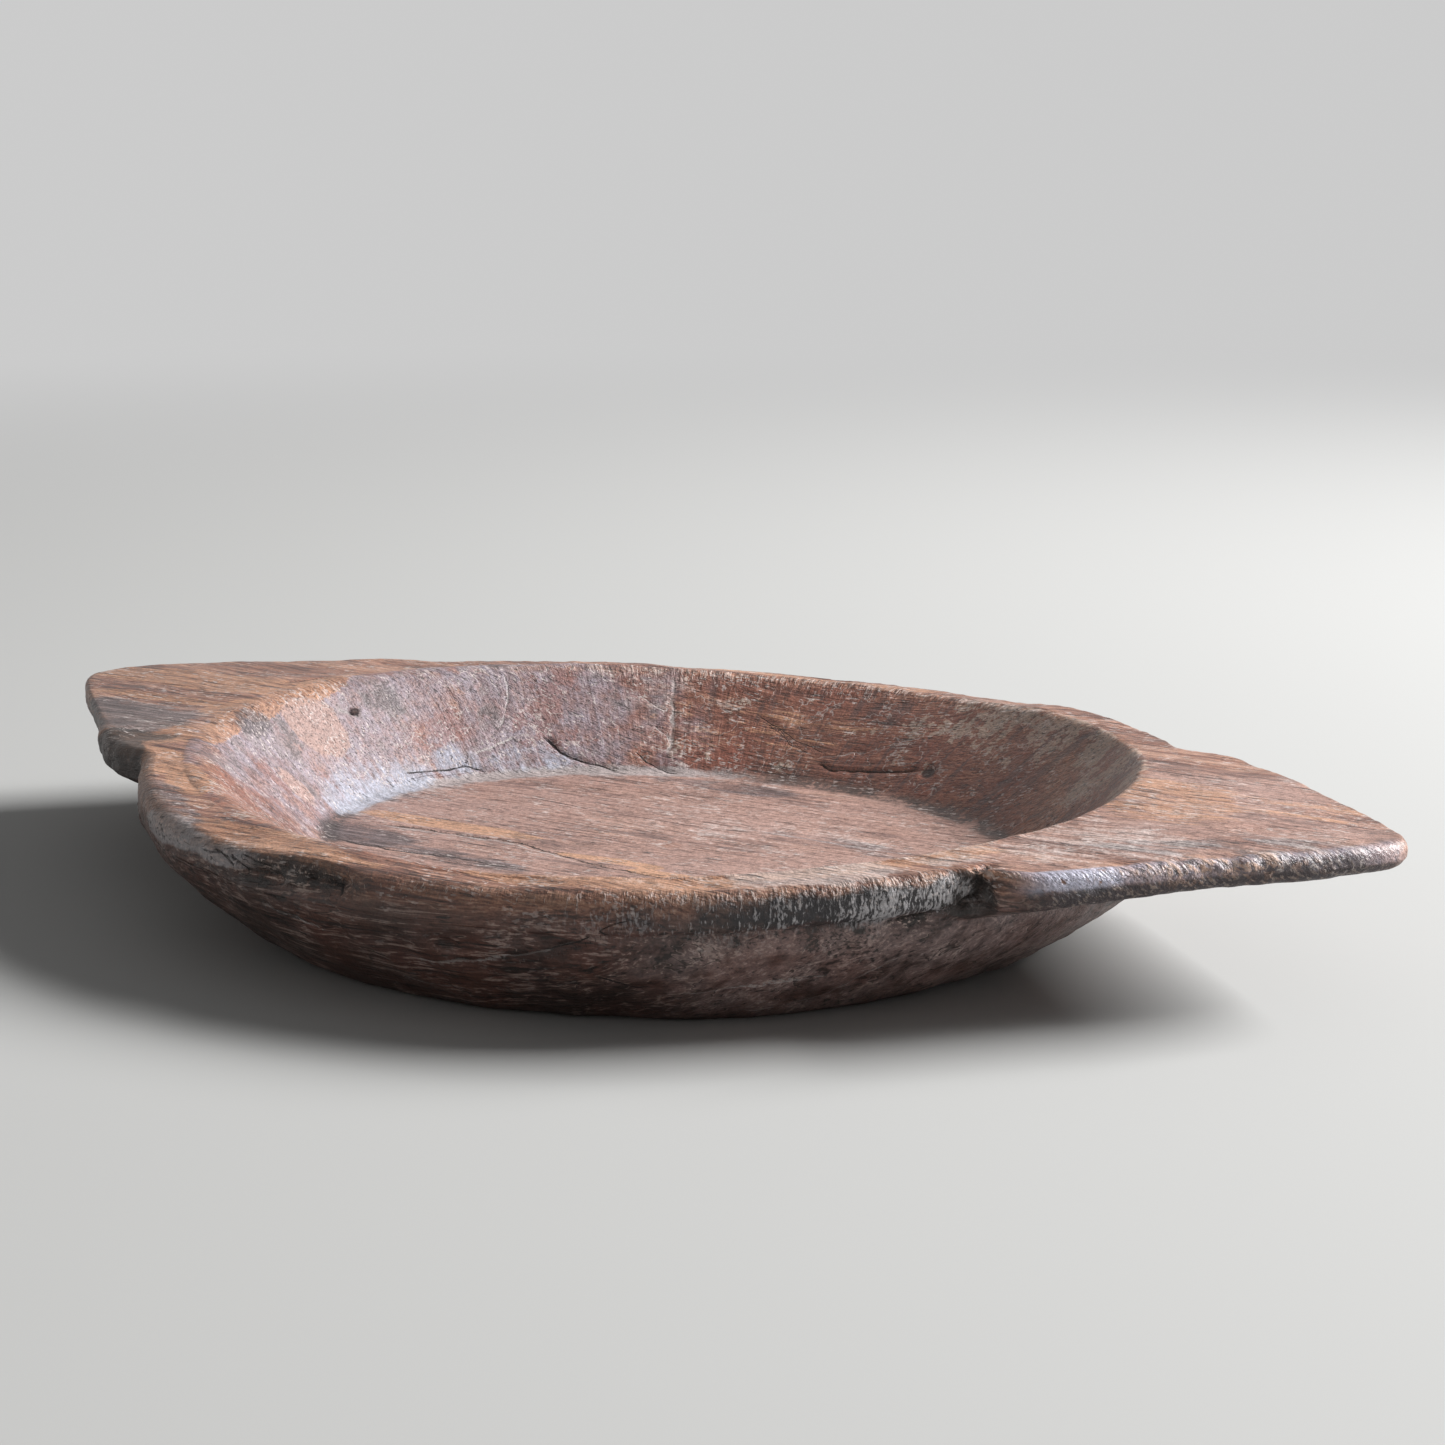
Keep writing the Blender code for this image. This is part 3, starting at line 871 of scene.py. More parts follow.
class Carving:
    """What the tool, use and age leave on the plain form."""

    wobble_width: float = 0.0011
    reach_of_lines: float = 0.010
    slight_chip: float = 0.0011
    most_widths: float = 9.0

    def __init__(self, form: BowlForm, wear: WearMap) -> None:
        """Keep the form that is carved and where it is worn.

        Args:
            form: The plain form.
            wear: Places of cracks, chips and patches.
        """
        self.form = form
        self.wear = wear

    def apply(self, surface: Surface) -> None:
        """Move the surface's points and store its masks.

        Args:
            surface: The plain surface, which is changed.
        """
        points, normals = surface.points, surface.normals
        at = Survey(self.form, surface)
        masks = self.colour_masks(at)
        soft = {zone: self.smoothed(values, 12) for zone, values in at.share.items()}
        lift = self.tool_marks(points, soft) - self.edge_tears(points, masks)
        for name, lines in (("crack", self.wear.cracks), ("scrape", self.wear.scrapes)):
            masks[name + "_side"], masks[name + "_depth"] = self.line_masks(surface, lines)
        lift -= self.grooves(surface)
        ragged = Unevenness(31).layered(points / 0.006, 2)
        for chip in self.wear.chips:
            lift -= chip.cover(points, 0.6 * ragged) * (1.0 + 0.35 * ragged)
        moved = points + normals * lift[..., None]
        moved += self.settling(at)
        moved[..., 2] = np.maximum(moved[..., 2], 0.0)
        surface.points = moved
        surface.masks = masks

    @staticmethod
    def around(points: Array) -> Array:
        """Places as distance round the hollow and height, for marks that run down the walls."""
        length = np.linalg.norm(points[..., :2], axis=-1, keepdims=True)
        direction = points[..., :2] / np.maximum(length, 1e-9)
        return np.concatenate([direction * WALL_RADIUS, points[..., 2:]], axis=-1)

    @staticmethod
    def smoothed(values: Array, passes: int = 2) -> Array:
        """Ease steps between neighbouring rings."""
        for _ in range(passes):
            padded = np.pad(values, ((1, 1), (0, 0)), mode="edge")
            values = (padded[:-2] + 2.0 * values + padded[2:]) / 4.0
        return values

    def tool_marks(self, points: Array, share: Dict[Zone, Array]) -> Array:
        """Height that scraping and adzing leave.

        Args:
            points: Places on the plain surface.
            share: For each zone, how much a point belongs to it.

        Returns:
            How far each point moves out.
        """
        around = self.around(points)
        slant = around + around[..., 2:] * np.array([0.5, 0.3, 0.0])
        broad = 0.0010 * Unevenness(3).layered(points / 0.075, 2)
        gentle = 0.0004 * Unevenness(4).layered(points / np.array([0.060, 0.016, 0.016]), 2)
        strokes = Unevenness(5).at(around / np.array([0.021, 0.021, 0.080]))
        strokes = 0.00050 * (0.4 - np.abs(strokes))
        facets = 0.0015 * (0.4 - np.abs(Unevenness(6).at(slant / np.array([0.026, 0.026, 0.020]))))
        facets += 0.0005 * Unevenness(7).layered(points / np.array([0.014, 0.007, 0.007]), 2)
        pitted = 0.00035 * Unevenness(8).layered(points / 0.0052, 2)
        rim = 0.00055 * Unevenness(9).layered(points / np.array([0.030, 0.018, 0.018]), 2)
        floor, hollow, top, band, outside, base = (share[zone] for zone in Zone)
        lift = broad * (1.0 - 0.5 * floor - 0.7 * base)
        lift += gentle * (floor + 0.8 * top)
        lift += strokes * hollow
        lift += facets * (outside + 0.12 * band) + rim * (top + 0.7 * band)
        lift += pitted * (0.5 * outside + 0.8 * band + 0.3 * hollow)
        return self.smoothed(lift)

    def edge_tears(self, points: Array, masks: Dict[str, Array]) -> Array:
        """Depth of the small tears along the rim's and the lugs' edges.

        Args:
            points: Places on the plain surface.
            masks: The colour masks, of which the tears' and scoops' own are used.

        Returns:
            How far each point moves in.
        """
        around = self.around(points)
        along_edge = points * np.array([1.0, 1.0, 0.0]) + around * np.array([0.0, 0.0, 0.35])
        bites = Unevenness(21).layered(along_edge / 0.0046, 2)
        nicks = Unevenness(22).at(along_edge / 0.016)
        leaning = points + points[..., 2:] * np.array([0.7, 0.0, 0.0])
        scoops = Unevenness(23).at(leaning / np.array([0.0048, 0.0120, 0.0120]))
        torn = 0.00060 * np.maximum(bites, -0.2) + 0.00120 * np.maximum(nicks - 0.35, 0.0)
        return masks["tears"] * torn + masks["scoops"] * 0.00150 * np.maximum(scoops, -0.15)

    def near_lines(self, surface: Surface, lines: Sequence[SurfaceLine], ends: float) -> Iterator[Tuple]:
        """Measure the surface near each line.

        Args:
            surface: The plain surface.
            lines: Cracks or scrapes.
            ends: Share of a line over which each of its ends fades.

        Yields:
            A line, the numbers of the points near it, their distance to one side of it, their plain distance
            and the fading of its ends.
        """
        points = surface.points.reshape(-1, 3)
        normals = surface.normals.reshape(-1, 3)
        wobble = self.wobble_width * Unevenness(41).layered(points / 0.009, 2)
        for line in lines:
            near = np.flatnonzero(line.near(points, self.reach_of_lines))
            sideways, distance, along = line.measure(points[near], normals[near])
            taper = smooth_step(along, 0.0, ends) * smooth_step(1.0 - along, 0.0, ends)
            yield line, near, sideways + wobble[near], distance, taper

    def line_masks(self, surface: Surface, lines: Sequence[SurfaceLine]) -> Tuple[Array, Array]:
        """Masks that draw the cracks or scrapes sharply.

        Args:
            surface: The plain surface.
            lines: Which lines are drawn.

        Returns:
            Distance to one side of the nearest line in half line widths, and how strongly it is drawn.
        """
        shape = surface.zones.shape
        side = np.full(surface.zones.size, self.most_widths)
        depth = np.zeros(surface.zones.size)
        for line, near, sideways, distance, taper in self.near_lines(surface, lines, 0.18):
            strength = taper * (1.0 - smooth_step(distance, 0.0032, 0.0062))
            half_width = 0.36 * line.width * MM
            drawn = (strength > 0.0) & (np.abs(sideways) / half_width < np.abs(side[near]))
            side[near[drawn]] = (sideways / half_width)[drawn]
            depth[near[drawn]] = strength[drawn]
        side = np.clip(side, -self.most_widths, self.most_widths)
        return side.reshape(shape), depth.reshape(shape)

    def grooves(self, surface: Surface) -> Array:
        """Depth of the cracks and scrapes in the mesh.

        Args:
            surface: The plain surface.

        Returns:
            How far each point moves in.
        """
        total = np.zeros(surface.zones.size)
        lines = self.wear.cracks + self.wear.scrapes
        for line, near, sideways, distance, taper in self.near_lines(surface, lines, 0.15):
            half_width = max(0.5 * line.width, 0.9) * MM
            groove = line.depth * MM * taper * bell(sideways, half_width)
            groove *= distance < 0.006
            total[near] = np.maximum(total[near], groove)
        return total.reshape(surface.zones.shape)

    @staticmethod
    def settling(at: Survey) -> Array:
        """How the old plank has warped: its right lug dips over a small step, and its rim lifts behind.

        Args:
            at: Where the points lie.

        Returns:
            How far each point moves.
        """
        shift = np.zeros_like(at.points)
        below = smooth_step(at.under_top, 0.0040, 0.0075)
        thinned = 0.0005 * smooth_step(at.along, 0.200, 0.255)
        thinned += 0.0006 * smooth_step(at.along, 0.2555, 0.2580)
        dipped = 0.0013 * smooth_step(at.along, 0.205, 0.275)
        behind = window(at.degrees, 24.0, 38.0, 52.0, 72.0)
        lifted = 0.0009 * behind * smooth_step(at.radius, 0.150, 0.172) * smooth_step(at.height, 0.020, 0.040)
        shift[..., 2] = lifted + (at.along > 0.19) * (below * thinned - dipped)
        return shift

    def colour_masks(self, at: Survey) -> Dict[str, Array]:
        """Masks that the finish reads.

        Args:
            at: Where the points lie.

        Returns:
            Values from 0 to 1 by name.
        """
        masks = {}
        for name in WearMap.painted:
            covers = [patch.cover(at.points, at.ragged) for patch in getattr(self.wear, name)]
            masks[name] = np.max(covers, axis=0)
        deep = [chip for chip in self.wear.chips if chip.strength > self.slight_chip]
        masks["chipped"] = np.max([chip.cover(at.points, at.ragged) / chip.strength for chip in deep], axis=0)
        self.mask_hollow(at, masks)
        self.mask_outside(at, masks)
        self.mask_edges(at, masks)
        return {name: self.smoothed(values, 1) for name, values in masks.items()}

    @staticmethod
    def mask_hollow(at: Survey, masks: Dict[str, Array]) -> None:
        """Add the masks of the hollow.

        Args:
            at: Where the points lie.
            masks: The masks, which get more.
        """
        floor, hollow = at.share[Zone.FLOOR], at.share[Zone.HOLLOW]
        risen = smooth_step(at.height, 0.0166, 0.0190)
        masks["hollow_wall"] = hollow * risen
        masks["hollow_floor"] = floor + hollow * (1.0 - risen)
        leftward = (at.degrees - 160.0 + 180.0) % 360.0 - 180.0
        leftward = np.where(leftward > 0.0, 0.72 * leftward, -leftward)
        # The left inner wall, which the window lights: painted light goes there, over the wood's mauve
        # haziness
        masks["haze_and_light"] = hollow * (1.0 - smooth_step(leftward + 11.0 * at.blotched, 29.0, 46.0))
        on_floor = floor * smooth_step(at.radius / at.floor, 0.86, 0.98)
        seam = np.clip(0.55 * on_floor + hollow * bell(at.over_floor - 0.0006, 0.0016), 0.0, 1.0)
        seam *= 1.0 - smooth_step(leftward, 34.0, 76.0)
        masks["seam"] = seam * smooth_step(at.across, -0.034, -0.008)
        # Painted shade in the corner where the floor meets the walls, on the right and the near side
        masks["crease_shade"] = hollow * bell(at.over_floor - 0.0006, 0.0019) * np.maximum(
            smooth_step(leftward, 42.0, 72.0), 1.0 - smooth_step(at.across, -0.030, -0.010))
        shaded_way = window(at.degrees, -62.0, -40.0, 60.0, 84.0)
        masks["upper_wall"] = hollow * shaded_way * smooth_step(-at.under_top, -0.0250, -0.0060)
        chalk_fade = np.where(hollow > 0.5, np.exp(-np.maximum(at.over_floor, 0.0) / 0.0150), 1.0)
        masks["chalk"] = masks["chalk"] * chalk_fade * (1.0 - floor)
        # Painted shade: the bowl's left part is darkened, except the left rim's top, for the weaker light
        # that it gets
        left_rim = at.share[Zone.TOP] * smooth_step(at.along, -0.200, -0.185)
        masks["left_side_shade"] = (1.0 - smooth_step(at.along, -0.170, 0.050)) * (1.0 - left_rim)

    @staticmethod
    def mask_outside(at: Survey, masks: Dict[str, Array]) -> None:
        """Add the masks of the outer wall and the band.

        Args:
            at: Where the points lie.
            masks: The masks, which get more.
        """
        band, outside = at.share[Zone.BAND], at.share[Zone.OUTSIDE]
        # Painted shade under the lugs, on the outer wall just below them
        underside = outside * smooth_step(at.radius, 0.183, 0.196)
        masks["grime_and_shade"] = np.clip(np.maximum(masks["grime_and_shade"], 0.40 * underside), 0.0, 1.0)
        lower_band = band * smooth_step(at.under_top, 0.0045, 0.0085)
        near_left = window(at.degrees, -172.0, -158.0, -122.0, -100.0) * band
        # The outer patina also reaches up the near-left band to just under its top: painted shade on the
        # rounded shoulder that faces away from the window
        masks["outside"] = np.clip(
            outside + at.share[Zone.BASE] + 0.42 * band + 0.5 * lower_band
            + 0.42 * near_left * smooth_step(at.under_top, 0.0004, 0.0026), 0.0, 1.0)
        charred_way = smooth_step(at.degrees + 6.0 * at.blotched, -76.0, -46.0)
        charred_way = charred_way * (1.0 - smooth_step(at.degrees, -33.0, -28.0))
        upper = smooth_step(at.under_top - 0.0016 - 0.0022 * at.blotched, -0.0010, 0.0026)
        lower = 1.0 - smooth_step(at.under_top + 0.003 * at.blotched, 0.0080, 0.0170)
        masks["charred"] = charred_way * (band + outside) * upper * lower
        masks["frayed"] = masks["charred"] * smooth_step(at.degrees, -56.0, -38.0)

    @staticmethod
    def mask_edges(at: Survey, masks: Dict[str, Array]) -> None:
        """Add the masks of the mouth's, the rim's and the lugs' edges.

        Args:
            at: Where the points lie.
            masks: The masks, which get more.
        """
        band = at.share[Zone.BAND]
        lug_edge = window(at.degrees, -29.0, -25.0, -4.0, 0.0)
        outward = 1.0 - 0.60 * smooth_step(at.along + 0.006 * at.blotched, 0.202, 0.214)
        upper_face = 1.0 - smooth_step(at.under_top + 0.0012 * at.blotched, 0.0042, 0.0072)
        # Upper face of the right lug's near edge: worn glossy, with a painted bluish sheen
        masks["burnished_and_sheen"] = lug_edge * outward * band * upper_face
        toward_tip = window(at.along, 0.226, 0.240, 0.262, 0.270) * smooth_step(at.under_top, 0.0010, 0.0024)
        lower_face = smooth_step(at.under_top, 0.0044, 0.0058)
        # Dark faces of the right lug's near edge: its lower face and underside, dark wood with painted shade
        # as they face down, and the band toward its tip
        masks["lug_face_and_shade"] = lug_edge * (band * np.maximum(lower_face, 0.80 * toward_tip)
                                        + at.share[Zone.OUTSIDE] * smooth_step(at.radius, 0.180, 0.195))
        outer_edge = bell(at.outline - at.radius, 0.0042) * bell(at.under_top, 0.0050)
        inner_edge = bell(at.radius - at.mouth, 0.0030) * bell(at.under_top, 0.0030)
        masks["edge"] = np.clip(outer_edge + inner_edge, 0.0, 1.0)
        masks["scoops"] = lug_edge * bell(at.along - 0.229, 0.024) * bell(
            at.outline - at.radius, 0.0080) * bell(at.under_top, 0.0060)
        far_side = window(at.degrees, 38.0, 60.0, 128.0, 150.0)
        under_mouth = smooth_step(0.002 * at.blotched - at.under_top, -0.0110, -0.0020)
        under_mouth = at.share[Zone.HOLLOW] * under_mouth * far_side
        near_side = window(at.degrees, -140.0, -115.0, -4.0, 2.0) * (1.0 - 0.85 * lug_edge)
        near_side = near_side + 1.1 * lug_edge * bell(at.along - 0.228, 0.022)
        masks["tears"] = np.clip(outer_edge * (0.20 + 0.70 * near_side + 0.4 * far_side)
                                 + 0.20 * masks["charred"] + 0.55 * under_mouth + 0.45 * inner_edge
                                 + 0.50 * masks["scoops"], 0.0, 1.0)


# Shader graphs written as Python expressions
Operand = Union["Signal", float, Sequence[float]]
Key = Union[str, int]


def joined(operation: str, swapped: bool = False) -> Callable[["Signal", Operand], "Signal"]:
    """Make one of the operators of Signal.

    Args:
        operation: The Math or Vector Math operation.
        swapped: True where the signal is the right operand.

    Returns:
        The operator.
    """
    def operator(signal: "Signal", other: Operand) -> "Signal":
        """Join a signal with another operand."""
        first, second = (other, signal) if swapped else (signal, other)
        return signal.graph.combined(operation, first, second)
    return operator


class Signal:
    """A value, colour or vector in a shader graph, for use in Python expressions."""

    __add__ = joined("ADD")
    __radd__ = joined("ADD", swapped=True)
    __sub__ = joined("SUBTRACT")
    __rsub__ = joined("SUBTRACT", swapped=True)
    __mul__ = joined("MULTIPLY")
    __rmul__ = joined("MULTIPLY", swapped=True)

    def __init__(self, graph: "Graph", socket: bpy.types.NodeSocket) -> None:
        """Wrap a node's output.

        Args:
            graph: The graph that the node is in.
            socket: The output.
        """
        self.graph = graph
        self.socket = socket

    @property
    def is_vector(self) -> bool:
        """True for a vector or a colour."""
        return self.socket.type in ("VECTOR", "RGBA")

    def between(self, low: float, high: float) -> "Signal":
        """Rise smoothly from 0 at low to 1 at high.

        Args:
            low: The value where the rise starts.
            high: The value where it ends.

        Returns:
            The risen value.
        """
        inputs = {"Value": self, "From Min": low, "From Max": high}
        return self.graph.node("ShaderNodeMapRange", {"interpolation_type": "SMOOTHSTEP"}, inputs)


class Graph:
    """The nodes of one material or world."""

    def __init__(self, tree: bpy.types.NodeTree) -> None:
        """Keep the node tree.

        Args:
            tree: The material's or world's nodes.
        """
        self.tree = tree
        self.masks: Dict[str, Signal] = {}

    def node(self, kind: str, settings: Dict[str, Any], inputs: Dict[Key, Any], output: Key = 0) -> Signal:
        """Add any node and take one of its outputs.

        Args:
            kind: The node's type.
            settings: Its own properties, and the stops of a ramp, which are set first.
            inputs: Values or links of its sockets, by name, identifier or place.
            output: The output's name, identifier or place.

        Returns:
            The output.
        """
        node = self.tree.nodes.new(kind)
        for name, value in settings.items():
            if name == "stops":
                self._set_stops(node.color_ramp, value)
            else:
                setattr(node, name, value)
        for key, value in inputs.items():
            socket = self._socket(node.inputs, key)
            if isinstance(value, Signal):
                self.feed(value, socket)
            else:
                socket.default_value = value
        return Signal(self, self._socket(node.outputs, output))

    def feed(self, signal: Signal, socket: bpy.types.NodeSocket) -> None:
        """Link a signal to an input."""
        self.tree.links.new(signal.socket, socket)

    @staticmethod
    def _socket(sockets: Any, key: Key) -> bpy.types.NodeSocket:
        """Find a socket by place, identifier or name."""
        if isinstance(key, int):
            return sockets[key]
        return next((socket for socket in sockets if socket.identifier == key), None) or sockets[key]

    @staticmethod
    def _set_stops(ramp: bpy.types.ColorRamp, stops: Sequence[Tuple[float, Colour]]) -> None:
        """Give a ramp its stops."""
        while len(ramp.elements) > 1:
            ramp.elements.remove(ramp.elements[-1])
        ramp.elements[0].position, ramp.elements[0].color = stops[0]
        for place, colour in stops[1:]:
            ramp.elements.new(place).color = colour

    def math(self, operation: str, *operands: Operand) -> Signal:
        """Add a Math node for one or two numbers."""
        return self.node("ShaderNodeMath", {"operation": operation}, dict(enumerate(operands)))

    def vector(self, operation: str, inputs: Dict[Key, Operand], output: Key = 0) -> Signal:
        """Add a Vector Math node."""
        return self.node("ShaderNodeVectorMath", {"operation": operation}, inputs, output)

    def combined(self, operation: str, first: Operand, second: Operand) -> Signal:
        """Add the node that joins two operands.

        Args:
            operation: The Math or Vector Math operation.
            first: Left operand.
            second: Right operand.

        Returns:
            The node's result.
        """
        vectors = [item.is_vector if isinstance(item, Signal) else isinstance(item, (tuple, list))
                   for item in (first, second)]
        if not any(vectors):
            return self.math(operation, first, second)
        if operation == "MULTIPLY" and not all(vectors):
            vector, number = (first, second) if vectors[0] else (second, first)
            return self.vector("SCALE", {"Vector": vector, "Scale": number})
        return self.vector(operation, {0: first, 1: second})

    def mask(self, name: str) -> Signal:
        """Read a mask that the mesh stores, with one node for each."""
        if name not in self.masks:
            self.masks[name] = self.node("ShaderNodeAttribute", {"attribute_name": name}, {}, "Fac")
        return self.masks[name]

    def place(self) -> Signal:
        """Where on the object the surface is."""
        return self.node("ShaderNodeTexCoord", {}, {}, "Object")

    def stretched(self, place: Signal, scale: Place) -> Signal:
        """Scale a place by an amount for each axis."""
        return self.vector("MULTIPLY", {0: place, 1: scale})

    def noise(self, place: Signal, scale: Union[float, Place], detail: float, roughness: float) -> Signal:
        """Noise at a place, about 0 on the whole.

        Args:
            place: Where to read it.
            scale: Lumps to a unit, the same for all axes or one number for each.
            detail: Layers of finer noise.
            roughness: How strong the finer noise is.

        Returns:
            The noise, mostly between -0.3 and 0.3.
        """
        if isinstance(scale, tuple):
            place, scale = self.stretched(place, scale), 1.0
        inputs = {"Vector": place, "Scale": scale, "Detail": detail, "Roughness": roughness}
        return self.node("ShaderNodeTexNoise", {}, inputs, "Fac") - 0.5

    def mix(self, factor: Operand, first: Operand, second: Operand) -> Signal:
        """Mix two colours.

        Args:
            factor: 0 for the first, 1 for the second.
            first: A colour.
            second: A colour.

        Returns:
            The mixed colour.
        """
        inputs = {"Factor_Float": factor, "A_Color": first, "B_Color": second}
        return self.node("ShaderNodeMix", {"data_type": "RGBA"}, inputs, "Result_Color")


class Grain:
    """The noises that the finish draws from, in the plank's own frame, each about 0 on the whole."""

    def __init__(self, graph: Graph) -> None:
        """Add the noises.

        Args:
            graph: The material's nodes.
        """
        place = graph.place()
        sway = graph.node("ShaderNodeTexNoise", {}, {
            "Vector": graph.stretched(place, (7.0, 16.0, 16.0)), "Scale": 1.0, "Detail": 2.0}, "Color")
        swayed = place + (sway - (0.5, 0.5, 0.5)) * 0.020
        compass = graph.vector("NORMALIZE", {0: graph.stretched(place, (1.0, 1.0, 0.0))})
        around = compass * WALL_RADIUS + graph.stretched(place, (0.0, 0.0, 1.0))
        slanted = place + graph.node("ShaderNodeSeparateXYZ", {}, {0: place}, "Z") * (1.1, 0.0, 0.0)
        self.broad = graph.noise(swayed, (3.4, 66.0, 66.0), 3.0, 0.55)
        self.streak = graph.noise(swayed, (12.0, 260.0, 260.0), 4.0, 0.62)
        self.fibre = graph.noise(swayed, (60.0, 1150.0, 1150.0), 2.0, 0.6)
        self.lines = graph.noise(swayed, (20.0, 620.0, 620.0), 3.0, 0.55)
        self.nerve = graph.noise(swayed, (20.0, 62.0, 120.0), 3.0, 0.64)
        self.ticks = graph.noise(place, (150.0, 1300.0, 1300.0), 1.0, 0.5)
        self.flecks = graph.noise(place, (250.0, 1050.0, 700.0), 2.0, 0.5)
        self.blotch = graph.noise(place, 24.0, 4.0, 0.6)
        self.mottle = graph.noise(place + (0.11, 0.42, 0.07), 34.0, 5.0, 0.66)
        self.stain = graph.noise(place + (0.31, 0.17, 0.23), 62.0, 4.0, 0.62)
        self.web = graph.noise(place + (0.07, 0.29, 0.51), 66.0, 3.0, 0.60)
        self.speckle = graph.noise(place, 420.0, 3.0, 0.6)
        self.grit = graph.noise(place, 1250.0, 2.0, 0.6)
        self.sweep = graph.noise(around, (105.0, 105.0, 20.0), 4.0, 0.60)
        self.strokes = graph.noise(around, (330.0, 330.0, 52.0), 4.0, 0.62)
        self.hatching = graph.noise(around, (1350.0, 1350.0, 400.0), 3.0, 0.6)
        self.tearing = graph.noise(around, (520.0, 520.0, 300.0), 3.0, 0.65)
        self.slant = graph.noise(slanted, (620.0, 620.0, 130.0), 3.0, 0.6)


@dataclass(frozen=True)
class OldHardwood:
    """The bowl's finish: old oiled hardwood, streaked along the plank, scraped, scuffed and stained, with
    painted light and shade in some of its colours.
    """

    growth: Tuple[Tuple[float, Colour], ...] = (
        (0.22, (0.085, 0.034, 0.026, 1.0)),
        (0.40, (0.205, 0.088, 0.060, 1.0)),
        (0.55, (0.330, 0.158, 0.108, 1.0)),
        (0.74, (0.500, 0.290, 0.208, 1.0)),
    )
    # Pale pink of the worn floor and lug top, paler for part of a painted sheen
    rubbed_pink_and_sheen: Colour = (0.470, 0.295, 0.250, 1.0)
    amber: Colour = (0.540, 0.290, 0.180, 1.0)
    amber_dark: Colour = (0.270, 0.118, 0.065, 1.0)
    peach: Colour = (0.450, 0.285, 0.240, 1.0)
    stripe: Colour = (0.620, 0.345, 0.215, 1.0)
    # Dark grey of weathered wood, also used for painted shade on the floor's left
    ashen_and_shade: Colour = (0.074, 0.056, 0.059, 1.0)
    ashen_pale: Colour = (0.298, 0.246, 0.252, 1.0)
    # Pale mauve of the lit left inner wall: the wood's haziness with painted light
    haze_and_light: Colour = (0.355, 0.295, 0.335, 1.0)
    red_patch: Colour = (0.290, 0.108, 0.074, 1.0)
    # Pale grey-olive film on the shaded wall's upper part, also used for the painted glints on the right
    # lug's dark face
    veil_and_glints: Colour = (0.560, 0.450, 0.370, 1.0)
    chalk: Colour = (0.480, 0.500, 0.590, 1.0)
    seam: Colour = (0.470, 0.430, 0.430, 1.0)
    # Pale bluish grey of a whitish film and painted sheen on the near-left band
    bloom_and_sheen: Colour = (0.500, 0.480, 0.500, 1.0)
    torn: Colour = (0.650, 0.500, 0.440, 1.0)
    scraped: Colour = (0.700, 0.650, 0.630, 1.0)
    patina: Colour = (0.016, 0.0095, 0.0085, 1.0)
    patina_pale: Colour = (0.084, 0.048, 0.043, 1.0)
    # Near-black of dirt and painted shade, also used for the fine dark ticks
    grime_and_shade: Colour = (0.024, 0.018, 0.016, 1.0)
    charred: Colour = (0.021, 0.018, 0.020, 1.0)
    # Bluish grey painted sheen of the right lug's worn glossy face
    burnished_and_sheen: Colour = (0.560, 0.565, 0.700, 1.0)
    # Near-black purple-brown of the lug's dark wood with painted shade
    lug_face_and_shade: Colour = (0.034, 0.023, 0.027, 1.0)
    frayed: Colour = (0.660, 0.630, 0.645, 1.0)
    # Paler brown-grey of dust and painted light on the outer wall's near right
    dust_and_light: Colour = (0.230, 0.172, 0.166, 1.0)
    crack: Colour = (0.014, 0.009, 0.007, 1.0)
    fleck: Colour = (0.680, 0.590, 0.560, 1.0)
    roughness: float = 0.44
    specular_level: float = 0.5
    coat: float = 0.12
    burnished_coat: float = 0.45
    coat_roughness: float = 0.40

    def material(self) -> bpy.types.Material:
        """Build the finish."""
        material = bpy.data.materials.new("old_hardwood")
        material.use_nodes = True
        shader = material.node_tree.nodes["Principled BSDF"]
        shader.inputs["Specular IOR Level"].default_value = self.specular_level
        shader.inputs["Coat Roughness"].default_value = self.coat_roughness
        painter = Painter(Graph(material.node_tree), self)
        painter.paint_hollow()
        painter.paint_patches()
        painter.paint_outside()
        painter.paint_lug_edges()
        painter.paint_damage()
        painter.paint_scuffs()
        painter.paint_lines()
        painter.feed_shader(shader)
        return material


